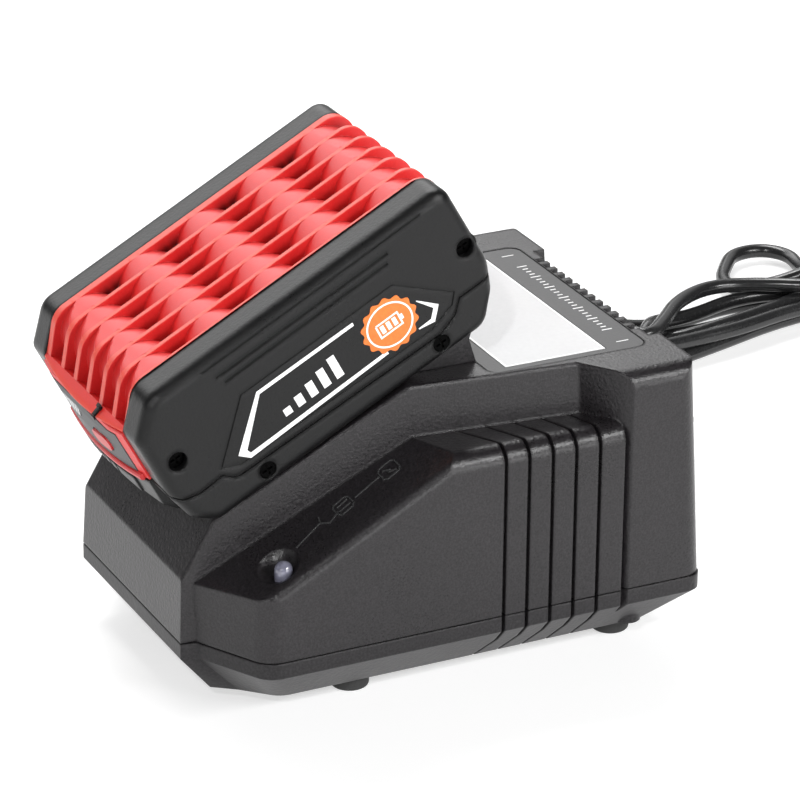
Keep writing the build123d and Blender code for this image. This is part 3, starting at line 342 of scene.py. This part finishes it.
def stroke(points, width):
    """Flat quads along a 2-D line, with mitred corners; width may change from point to point."""
    P2 = [Vector(q) for q in points]
    wl = width if isinstance(width, list) else [width] * len(P2)
    L, R = [], []
    for i, q in enumerate(P2):
        a = (q - P2[i - 1]).normalized() if i else (P2[1] - q).normalized()
        b = (P2[i + 1] - q).normalized() if i < len(P2) - 1 else a
        na, nb = Vector((-a.y, a.x)), Vector((-b.y, b.x))
        mt = (na + nb).normalized()
        h = wl[i] / 2 / max(0.35, mt.dot(na))
        L.append(q + mt * h)
        R.append(q - mt * h)
    return [[L[i], R[i], R[i + 1], L[i + 1]] for i in range(len(P2) - 1)]

# ---------------------------------------------------------------- red case: finned skin
CELL_U = [-16.9, 2.3, 21.5, 40.7, 59.9]
FIN_V = [24.1, 15.4, 6.7, -2.0, -10.7, -19.4]
FIN_T, RED_V = 1.45, 26.75


def outline():
    """Envelope of the case as (point (u, w), inward normal), front to back."""
    pts = []
    cor = [Vector((-30.63, -9.15)), Vector((-23.4, 0.0)), Vector((71.2, 0.0)), Vector((71.2, BACK_W))]
    rad = [0, 7.0, 6.0, 0]
    seg = []
    for i, q in enumerate(cor):
        if rad[i]:
            a, b = (cor[i - 1] - q).normalized(), (cor[i + 1] - q).normalized()
            half = a.angle(b) / 2
            t = rad[i] / math.tan(half)
            cen = q + (a + b).normalized() * (rad[i] / math.sin(half))
            p0, p1 = q + a * t, q + b * t
            a0 = math.atan2((p0 - cen).y, (p0 - cen).x)
            a1 = math.atan2((p1 - cen).y, (p1 - cen).x)
            if a1 > a0:
                a1 -= 2 * math.pi
            n = max(6, int(abs(a1 - a0) * rad[i] / 0.5))
            for j in range(n + 1):
                an = a0 + (a1 - a0) * j / n
                seg.append(cen + Vector((math.cos(an), math.sin(an))) * rad[i])
        else:
            seg.append(q.copy())
    for i in range(len(seg) - 1):
        a, b = seg[i], seg[i + 1]
        n = max(1, int(round((b - a).length / 0.55)))
        for j in range(n):
            pts.append(a.lerp(b, j / n))
    pts.append(seg[-1])
    out = []
    for i, q in enumerate(pts):
        tg = (pts[min(i + 1, len(pts) - 1)] - pts[max(i - 1, 0)]).normalized()
        n = Vector((tg.y, -tg.x))
        s = min(1.0, (q - pts[0]).length / 3.5)
        if s < 1.0:
            n = Vector((0.71, -0.70)).lerp(n, s).normalized()
        out.append((q, n))
    return out


def ray_circle(q, n, cen, rr):
    """Distance from q along n to a circle, or None."""
    dq = q - cen
    bq = dq.dot(n)
    disc = bq * bq - (dq.dot(dq) - rr * rr)
    if disc < 0:
        return None
    return max(0.0, -bq - math.sqrt(disc))


def skin_depth(q, n, t, j):
    lim = 20.0
    for cu in CELL_U:
        dd = ray_circle(q, n, Vector((cu, -9.78)), 9.35 if q.x < cu == CELL_U[0] else 9.78)
        if dd is not None:
            lim = min(lim, dd)
    c0, c4 = CELL_U[0], CELL_U[-1]
    if c0 <= q.x <= c4:
        x = min(abs(q.x - c) for c in CELL_U)
        R = 9.78 + 6.0 * t ** 1.1
        return min(lim, R - math.sqrt(max(0.0, R * R - x * x)), 7.6)
    far = (c0 - q.x) if q.x < c0 else (q.x - c4)
    far += max(0.0, -q.y) * 0.8
    D = 4.8 if q.x < c0 else 7.6 * (1 - t) + 3.0 * t
    g = max(0.0, min(1.0, (far - 0.5 - (6.6 if q.x < c0 else 1.2) * t) / 5.5))
    dep = min(lim, D * g ** (0.8 + 0.5 * t))
    if q.x > c4 and q.y < -19.0:
        dep *= max(0.0, min(1.0, (q.y + 22.0) / 3.0)) ** 0.5
    return dep


cad_red = NODES["pack_cell_case"]
KI = Matrix(((CT, 0, ST), (0, 1, 0), (-ST, 0, CT)))


def to_k(p):
    """Row frame metres to pack axes in millimetres."""
    v = Vector((p.x * 1000 - S - 9.957, p.y * 1000, p.z * 1000 - 104.001))
    return KI @ v


mw = cad_red.matrix_world.copy()
kv = [to_k(mw @ v.co) for v in cad_red.data.vertices]
BACK_W = min(q.z for q in kv if q.x > 71.15)
env = outline()
rows_v = [(RED_V, 0, None, 0), (FIN_V[0] + 0.2, 0, None, 0)]
for j, vf in enumerate(FIN_V):
    near = FIN_V[j + 1] + FIN_T if j < 5 else -RED_V + 1.0
    wd = 1 if j else 0
    if j:
        rows_v += [(vf + FIN_T, 0.16, (j - 1, 1.0), 0), (vf + FIN_T - 0.14, 0, None, 0), (vf + 0.14, 0, None, wd)]
    rows_v += [(vf, 0.16, (j, 0.0), wd)]
    n = 14
    for i in range(n + 1):
        t = i / n
        rows_v.append((vf + (near - vf) * t, None, (j, t), wd * (1 - t)))
rows_v += [(-RED_V + 1.0, 0.16, (5, 1.0), 0), (-RED_V + 0.8, 0, None, 0), (-RED_V, 0, None, 0)]


def unit(x):
    return max(0.0, min(1.0, x))


# A holds one value per vertex: above zero painted shade, below zero painted highlight
V, A, F = [], [], []
first = env[0][0]
for v, fixed, key, wd in rows_v:
    V.append(K(first.x, v, first.y + 0.02))
    A.append(-0.3 if key is None else 0.0)
    for i, (q, n) in enumerate(env):
        dep = 0.0
        if key is not None:
            full = skin_depth(q, n, key[1], key[0])
            dep = full if fixed is None else min(fixed, full)
        x = unit((-17.0 - q.x) / 7.0)
        p = q + n * dep
        # fins stand thicker on the steep front
        V.append(K(p.x, v - wd * (0.15 + 0.65 * x * x * (3 - 2 * x)), p.y))
        # painted highlight along the fin tops
        if key is None:
            A.append(-1.0)
            continue
        t = key[1]
        far_col = key[0] == 0
        # painted shade grows with pocket depth and is strongest in the far column; on the steep front it darkens the
        # fins' near faces
        hol = unit((dep - (1.2 if far_col else 1.8)) / (3.6 if far_col else 5.0)) * (1.0 - 0.5 * t) * (1.0 if far_col else 0.6)
        if q.x < CELL_U[0]:
            wall = unit((-17.3 - 6.8 * t - q.x) / 1.2)
            hol = max(hol * 0.4, wall * (0.17 + 0.28 * t * unit((-q.y - 3.0) / 5.0)))
            if i == 0:
                hol = 0.04
        elif t == 0.0:
            hol = max(hol, 0.08)
        A.append(hol)
W = len(env) + 1
for a in range(len(rows_v) - 1):
    for b in range(W - 1):
        F.append((a * W + b, a * W + b + 1, (a + 1) * W + b + 1, (a + 1) * W + b))
# flat ledge in front of the fins, its edge rounded in plan
k0, NL = len(V), 44
for i in range(NL + 1):
    v = RED_V - 2 * RED_V * i / NL
    uf = -34.1 + v * v / 294.0
    we = first.y + (uf - first.x) * 0.33
    prof = [(uf + 1.5, -11.3), (uf + 0.35, min(we - 0.7, -10.6)), (uf, we - 0.5), (uf, we - 0.16), (uf + 0.16, we + 0.02), ((uf + first.x) / 2, (we + first.y) / 2), (first.x, first.y + 0.01), (first.x + 1.0, first.y - 0.8)]
    V += [K(a_, v, w_) for a_, w_ in prof]
    # painted highlight along the ledge's rounded front edge
    A += [0.0, 0.0, -0.2, -1.0, -1.0, -0.25, -0.1, 0.0]
for i in range(NL):
    for j in range(7):
        q0 = k0 + i * 8 + j
        F.append((q0, q0 + 1, q0 + 9, q0 + 8))
# the rest of the case: its own faces away from the finned skin
keep_v, keep_f, idx = [], [], {}
for poly in cad_red.data.polygons:
    q = sum((kv[i] for i in poly.vertices), Vector()) / len(poly.vertices)
    top = q.z > (-10.3 if q.x < -29.0 else -8.6 if q.x < CELL_U[0] else -9.6)
    back = q.x > 69.75 or (q.x > CELL_U[-1] and q.z > -22.3 and q.x > 62.0)
    if top or back:
        continue
    ids = []
    for i in poly.vertices:
        if i not in idx:
            idx[i] = len(V) + len(keep_v)
            keep_v.append(mw @ cad_red.data.vertices[i].co)
        ids.append(idx[i])
    keep_f.append(tuple(ids))
me = bpy.data.meshes.new("red_case")
me.from_pydata([tuple(v) for v in V + keep_v], [], F + keep_f)
me.update()
at = me.attributes.new("painted_shade_and_highlight", "FLOAT", "POINT")
at.data.foreach_set("value", A + [0.0] * len(keep_v))
nf = len(F)
me.polygons.foreach_set("use_smooth", [True] * nf + [False] * len(keep_f))
red_case = bpy.data.objects.new("red_case", me)
col.objects.link(red_case)
me.materials.append(MATS["red"])
bm = bmesh.new()
bm.from_mesh(me)
bm.faces.ensure_lookup_table()
c_mid = K(21.5, 0, -14)
ups = sum(1 for f in bm.faces[:nf] if f.normal.dot(f.calc_center_median() - c_mid) > 0)
if ups < nf / 2:
    bmesh.ops.reverse_faces(bm, faces=bm.faces[:nf])
bmesh.ops.remove_doubles(bm, verts=bm.verts, dist=1e-6)
for e in bm.edges:
    if len(e.link_faces) == 2 and e.calc_face_angle(0) > math.radians(30):
        e.smooth = False
bm.to_mesh(me)
bm.free()
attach(red_case, "pack")
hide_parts("pack_cell_case")
print("red case back w", BACK_W, "faces", len(me.polygons))


# small black catch lying on the sloping ledge
def pack_box(u0, u1, v0, v1, w0, w1):
    c = [K(u_, v_, -9.15 + (u_ + 30.63) * 0.33 + w_) for w_ in (w0, w1) for u_, v_ in ((u0, v0), (u1, v0), (u1, v1), (u0, v1))]
    return c, [(0, 3, 2, 1), (4, 5, 6, 7), (0, 1, 5, 4), (1, 2, 6, 5), (2, 3, 7, 6), (3, 0, 4, 7)]


V, F = [], []
for bx in ((-34.0, -30.9, -12.3, -10.9, 0.05, 0.7), (-34.35, -33.8, -12.1, -11.1, -0.75, 0.45), (-31.9, -30.9, -12.6, -10.75, 0.05, 1.2)):
    v_, f_ = pack_box(*bx)
    F += [tuple(i + len(V) for i in q) for q in f_]
    V += v_
piece("ledge_catch", V, F, "pack", "pack")

# red lip under the gauge panel, following the curve of the nose
V, F = [], []
NL = 40
for i in range(NL + 1):
    v_ = -24.6 + 49.2 * i / NL
    uf = -35.15 + v_ * v_ / 294.0
    th_ = 0.55 + 0.45 * (24.6 - v_) / 49.2
    prof = [(0.6, -26.7 + 2.0 * th_), (-0.45 * th_, -26.7 + 1.9 * th_), (-0.9 * th_, -26.7 + 1.4 * th_), (-0.9 * th_, -26.2), (-0.4 * th_, -26.7), (0.6, -26.7)]
    V += [K(uf + a_, v_, w_) for a_, w_ in prof]
for i in range(NL):
    for j in range(6):
        F.append((i * 6 + j, i * 6 + (j + 1) % 6, (i + 1) * 6 + (j + 1) % 6, (i + 1) * 6 + j))
F += [tuple(range(5, -1, -1)), tuple(NL * 6 + j for j in range(6))]
piece("nose_lip", V, F, "button", "pack")

# clear strip laid over the gauge, following the curve of the nose
V, F = [], []
NL = 24
for i in range(NL + 1):
    v_ = 2.2 + 18.6 * i / NL
    uf = -35.25 + v_ * v_ / 286.0
    for w_, du in ((-12.3, 1.55), (-13.4, 0.98), (-14.9, 0.52), (-16.4, 0.16)):
        V += [K(uf + du, v_, w_), K(uf + du + 0.5, v_, w_)]
for i in range(NL):
    a_, b_ = i * 8, (i + 1) * 8
    for j in (0, 2, 4):
        F += [(a_ + j, a_ + j + 2, b_ + j + 2, b_ + j), (a_ + j + 1, b_ + j + 1, b_ + j + 3, a_ + j + 3)]
    F += [(a_, b_, b_ + 1, a_ + 1), (a_ + 6, a_ + 7, b_ + 7, b_ + 6)]
for o_ in (0, NL * 8):
    F += [(o_ + j, o_ + j + 1, o_ + j + 3, o_ + j + 2) for j in (0, 2, 4)]
piece("gauge_strip", V, F, "smoke", "pack")

# ---------------------------------------------------------------- prints on the side covers
OUT_A = [(31.8, -17.7), (1.5, -17.5), (-9.9, -29.5), (-8.4, -31.5), (36.0, -30.9)]
OUT_B = [(49.1, -23.4), (53.0, -28.2), (50.5, -31.2), (46.1, -30.8)]
BADGE = (40.0, -24.4)
for side, sg in (("near", -1), ("far", 1)):
    vs = sg * 37.5
    quads = []
    for line, wid in ((OUT_A, [1.0, 1.05, 2.1, 1.3, 1.0]), (OUT_B, [0.3, 1.3, 1.3, 0.3])):
        quads += stroke(line, wid)
    # level bars of rising height inside the outline
    for i in range(5):
        u0 = 4.6 + i * 4.1
        h = 2.2 + i * 1.15
        quads.append([Vector((u0, -28.4)), Vector((u0 + 2.3, -28.4)), Vector((u0 + 2.3, -28.4 + h)), Vector((u0, -28.4 + h))])
    lift = Vector((0, sg * 0.00008, 0))
    plates("outline_" + side, [[K(q.x, vs - sg * 0.02, q.y) for q in f] for f in quads], lift, "edge_white", "pack")
    n = 96
    disc = [Vector((BADGE[0] + (8.0 + 0.45 * math.cos(14 * a)) * math.cos(a), BADGE[1] + (7.4 + 0.45 * math.cos(14 * a)) * math.sin(a)))
            for a in (2 * math.pi * i / n for i in range(n))]
    plates("badge_" + side, [[K(q.x, vs + sg * 0.02, q.y) for q in disc]], Vector((0, sg * 0.0001, 0)), "badge", "pack")
    # generic battery sign in a ring
    ring = [Vector((BADGE[0] + 6.6 * math.cos(2 * math.pi * i / 60), BADGE[1] + 6.0 * math.sin(2 * math.pi * i / 60))) for i in range(60)]
    sign = stroke(ring + [ring[0]], 0.5)
    bu, bw = BADGE
    sign += stroke([(bu - 3.6, bw + 1.9), (bu + 3.2, bw + 1.9), (bu + 3.2, bw - 1.9), (bu - 3.6, bw - 1.9), (bu - 3.6, bw + 1.9)], 0.5)
    sign.append([Vector((bu + 3.4, bw - 0.8)), Vector((bu + 4.2, bw - 0.8)), Vector((bu + 4.2, bw + 0.8)), Vector((bu + 3.4, bw + 0.8))])
    for i in range(3):
        x0 = bu - 2.8 + i * 1.9
        sign.append([Vector((x0, bw - 1.2)), Vector((x0 + 1.2, bw - 1.2)), Vector((x0 + 1.2, bw + 1.2)), Vector((x0, bw + 1.2))])
    plates("badge_sign_" + side, [[K(q.x, vs + sg * 0.1, q.y) for q in f] for f in sign], Vector((0, sg * 0.00008, 0)), "edge_white", "pack")

# ---------------------------------------------------------------- label border and panel marks
lo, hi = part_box("white_label")
zl = hi[2]
x0, x1, yh = lo[0], hi[0], hi[1]
e = 0.0007
frame_q = [[Vector((x0, -yh, zl)), Vector((x1, -yh, zl)), Vector((x1, -yh + e, zl)), Vector((x0, -yh + e, zl))],
           [Vector((x0, yh - e, zl)), Vector((x1, yh - e, zl)), Vector((x1, yh, zl)), Vector((x0, yh, zl))],
           [Vector((x1 - e, -yh + e, zl)), Vector((x1, -yh + e, zl)), Vector((x1, yh - e, zl)), Vector((x1 - e, yh - e, zl))],
           [Vector((x0, -yh + e, zl)), Vector((x0 + e, -yh + e, zl)), Vector((x0 + e, yh - e, zl)), Vector((x0, yh - e, zl))]]
plates("label_border", frame_q, Vector((0, 0, 0.00008)), "edge_white", "charger")
lo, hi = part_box("label_panel")
zp = hi[2]
marks = []
for yy in (-33.2, 33.2):
    a, b = P(126.0, yy - 0.18, 0), P(129.6, yy + 0.18, 0)
    marks.append([Vector((a.x, a.y, zp)), Vector((b.x, a.y, zp)), Vector((b.x, b.y, zp)), Vector((a.x, b.y, zp))])
for i in range(-12, 13):
    a, b = P(127.8 - (1.5 if i % 4 == 0 else 0.8), i * 2.05 - 0.22, 0), P(127.8 + (1.5 if i % 4 == 0 else 0.8), i * 2.05 + 0.22, 0)
    marks.append([Vector((a.x, a.y, zp)), Vector((b.x, a.y, zp)), Vector((b.x, b.y, zp)), Vector((a.x, b.y, zp))])
plates("panel_marks", marks, Vector((0, 0, 0.00005)), "edge_white", "charger")

# ---------------------------------------------------------------- raised signs on the near side pod
from mathutils.bvhtree import BVHTree

uh = NODES["upper_housing"]
tree = BVHTree.FromPolygons([uh.matrix_world @ v.co for v in uh.data.vertices], [tuple(p.vertices) for p in uh.data.polygons])
POD_N = Vector((-0.466, -0.198, 0.863)).normalized()
POD_A = Vector((0.863, 0, 0.466)).normalized()      # up the slope
POD_B = POD_N.cross(POD_A)


def drape(x, y):
    hit = tree.ray_cast(P(x, y, 120), Vector((0, 0, -1)))[0]
    return hit


def sign_strokes(lines, width=0.00042):
    out = []
    for ln in lines:
        pts = [drape(*q) for q in ln]
        for a_, b_ in zip(pts[:-1], pts[1:]):
            dr = (b_ - a_).normalized()
            sd = POD_N.cross(dr).normalized() * width / 2
            a2, b2 = a_ - dr * width / 2, b_ + dr * width / 2
            out.append([a2 + sd, a2 - sd, b2 - sd, b2 + sd])
    return [[q - POD_N * 0.00006 for q in f] for f in out]


def sign_box(cx, cy, hx, hy, turn=0.0, cut=1.0):
    """Rounded rectangle on the pod in plan, as a closed line."""
    base = [(-hx + cut, -hy), (hx - cut, -hy), (hx, -hy + cut), (hx, hy - cut), (hx - cut, hy), (-hx + cut, hy), (-hx, hy - cut), (-hx, -hy + cut), (-hx + cut, -hy)]
    c_, s_ = math.cos(turn), math.sin(turn)
    return [(cx + c_ * a_ - s_ * b_, cy + s_ * a_ + c_ * b_) for a_, b_ in base]


SIGNS = [[(27.0, -44.9), (34.6, -42.9)], [(35.0, -41.2), (34.6, -43.1), (36.4, -44.9), (39.4, -43.6)],
         sign_box(41.2, -42.9, 2.3, 2.2, 0.12, 0.8), [(39.8, -42.2), (42.6, -41.8)], [(39.8, -43.8), (42.8, -43.4)],
         [(44.6, -43.0), (51.8, -42.2)], sign_box(54.6, -42.2, 2.4, 2.3, 0.10, 0.8), [(53.2, -41.4), (54.8, -42.4), (54.2, -42.8), (56.0, -43.6)]]
plates("pod_signs", sign_strokes(SIGNS), POD_N * 0.00032, "sign", "charger")

# ---------------------------------------------------------------- cord
CZ = 2.45
ROUTE = [(164.1, 33.0, 20.2), (177.4, 33.0, 20.2), (189.3, 38.4, 17.9), (197.1, 48.2, 13.8), (199.1, 60.4, 9.3), (195.2, 72.4, 5.2), (186.3, 81.7, CZ),
         (180.8, 91.8, CZ), (179.7, 103.3, CZ), (183.1, 114.4, CZ), (190.7, 123.1, CZ), (201.3, 127.8, CZ), (212.8, 127.8, CZ)]
HANK = [(231.4, 127.8, 2.5), (248.1, 127.3, 2.6), (268.1, 129.7, 2.5), (292.2, 133.6, 2.5), (316.9, 121.4, 2.5), (331.8, 122.1, 2.8), (336.7, 135.5, 2.45),
        (340.4, 156.7, 2.5), (335.3, 164.2, 2.5), (322.6, 157.2, 2.5), (303.6, 140.6, 2.5), (282.2, 140.1, 2.5), (261.9, 141.3, 2.5), (243.0, 136.2, 2.45),
        (227.4, 131.5, 5.6), (215.9, 129.1, 9.4), (214.7, 120.2, 2.6), (219.7, 108.7, 2.5), (231.8, 111.8, 2.5), (249.9, 117.0, 2.45), (269.9, 123.1, 2.6),
        (292.3, 126.9, 2.45), (317.8, 114.8, 2.7), (334.6, 115.6, 4.7), (341.2, 127.9, 2.5), (341.5, 151.1, 8.1), (337.3, 159.6, 11.7), (325.8, 153.8, 12.0),
        (306.8, 137.0, 6.1), (285.2, 134.9, 6.5), (264.9, 137.1, 6.9), (244.7, 131.7, 5.9), (229.3, 127.5, 8.8), (223.1, 119.9, 10.6), (213.9, 112.0, 5.6),
        (217.9, 108.9, 8.9), (235.4, 112.7, 7.2), (254.5, 115.0, 7.1), (274.0, 120.5, 7.0), (294.9, 122.7, 6.5), (318.9, 113.4, 7.7), (335.8, 113.0, 9.0),
        (342.1, 124.8, 12.2), (339.9, 146.6, 12.1), (332.1, 153.6, 8.1), (321.0, 144.7, 3.5), (306.2, 126.2, 11.4), (289.5, 122.2, 12.3), (273.1, 134.4, 11.5),
        (256.9, 139.7, 11.6), (240.6, 132.1, 12.1), (228.1, 119.0, 12.0), (218.8, 110.7, 12.0), (213.6, 118.3, 12.4), (222.4, 125.2, 4.5), (232.0, 118.6, 5.7),
        (249.9, 118.9, 7.2), (269.0, 123.9, 7.2), (288.1, 129.6, 7.1), (308.5, 122.2, 6.5), (324.5, 122.0, 8.2), (331.8, 134.1, 3.5), (335.3, 155.1, 3.5),
        (331.3, 162.6, 8.4), (320.3, 155.3, 13.3), (306.1, 142.9, 8.4), (298.2, 145.3, 5.4), (302.2, 159.0, 3.2), (304.3, 169.6, 3.5), (297.6, 177.4, 3.6),
        (286.7, 176.7, 3.6), (279.6, 168.6, 3.5), (273.4, 160.2, 3.4), (271.7, 150.1, 4.2), (278.3, 141.3, 7.2), (290.8, 137.9, 10.5), (304.0, 143.1, 12.0),
        (317.6, 134.8, 12.1), (331.1, 133.3, 9.1), (344.0, 133.0, 7.05)]
cd = bpy.data.curves.new("mains_lead", "CURVE")
cd.dimensions = "3D"
sp = cd.splines.new("NURBS")
pts = ROUTE + HANK
sp.points.add(len(pts) - 1)
for q, c in zip(sp.points, pts):
    q.co = (*P(*c), 1)
sp.order_u = 3
sp.use_endpoint_u = True
sp.resolution_u = 8
cd.bevel_depth = 0.0023
cd.bevel_resolution = 5
cd.use_fill_caps = True
lead = bpy.data.objects.new("mains_lead", cd)
col.objects.link(lead)
lead.data.materials.append(MATS["rubber"])
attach(lead, "charger")
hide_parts("mains_cord", "cord_coil")

# ---------------------------------------------------------------- floor and light
bm = bmesh.new()
bmesh.ops.create_grid(bm, x_segments=1, y_segments=1, size=6)
me = bpy.data.meshes.new("floor")
bm.to_mesh(me)
bm.free()
floor = bpy.data.objects.new("floor", me)
col.objects.link(floor)
fm = M("floor_pale")
fm.set(Base_Color=fm.ramp(fm.noise(3, 2), [(0.3, (0.54, 0.54, 0.54)), (0.7, (0.57, 0.57, 0.57))]), Roughness=0.6, Specular_IOR_Level=0.2,
       Emission_Color=(1.0, 1.0, 1.0), Emission_Strength=0.58)
me.materials.append(fm.m)

world = bpy.data.worlds.new("studio")
bpy.context.scene.world = world
world.use_nodes = True
wt = world.node_tree
bg = wt.nodes["Background"]
tc = wt.nodes.new("ShaderNodeTexCoord")
sx = wt.nodes.new("ShaderNodeSeparateXYZ")
wt.links.new(tc.outputs["Generated"], sx.inputs["Vector"])
rp = wt.nodes.new("ShaderNodeValToRGB")
e = rp.color_ramp.elements
e[0].position, e[0].color = 0.0, (0.10, 0.10, 0.10, 1)
e[1].position, e[1].color = 1.0, (0.03, 0.03, 0.03, 1)
for p, v in ((0.12, 0.06), (0.24, 0.25), (0.36, 0.95), (0.57, 0.95), (0.68, 0.06)):
    q = e.new(p)
    q.color = (v, v, v, 1)
wt.links.new(sx.outputs["Z"], rp.inputs["Fac"])
# the bright wall stands behind the object only
dot = wt.nodes.new("ShaderNodeVectorMath")
dot.operation = "DOT_PRODUCT"
wt.links.new(tc.outputs["Generated"], dot.inputs[0])
dot.inputs[1].default_value = (0.12, 0.99, 0.0)
mr = wt.nodes.new("ShaderNodeMapRange")
mr.interpolation_type = "SMOOTHSTEP"
mr.inputs["From Min"].default_value, mr.inputs["From Max"].default_value = 0.15, 0.65
wt.links.new(dot.outputs["Value"], mr.inputs["Value"])
mx = wt.nodes.new("ShaderNodeMix")
mx.data_type = "RGBA"
mx.inputs[6].default_value = (0.06, 0.06, 0.06, 1)
wt.links.new(mr.outputs["Result"], mx.inputs[0])
wt.links.new(rp.outputs["Color"], mx.inputs[7])
wt.links.new(mx.outputs[2], bg.inputs["Color"])
bg.inputs["Strength"].default_value = 1.0


def softbox(name, direction, dist, size, power, target=(0, 0, 0.05), colour=(1, 1, 1)):
    ld = bpy.data.lights.new(name, "AREA")
    ld.shape = "RECTANGLE"
    ld.size, ld.size_y = size
    ld.energy = power
    ld.color = colour
    o = bpy.data.objects.new(name, ld)
    v = Vector(direction).normalized()
    o.location = Vector(target) + v * dist
    o.rotation_euler = v.to_track_quat("Z", "Y").to_euler()
    col.objects.link(o)
    return o


softbox("back", (0.02, 0.84, 0.54), 2.4, (2.6, 0.9), 18)
softbox("far_top", (0.10, 0.52, 0.86), 2.4, (1.4, 0.7), 46)
softbox("key", (0.40, -0.76, 0.54), 2.0, (1.3, 0.22), 27)
softbox("low_side", (0.30, -0.93, 0.10), 2.2, (1.4, 0.3), 14)
softbox("left", (-0.80, -0.50, 0.30), 2.0, (0.12, 0.6), 8)
softbox("spot_a", (-0.50, -0.66, 0.62), 2.0, (0.08, 0.08), 11)
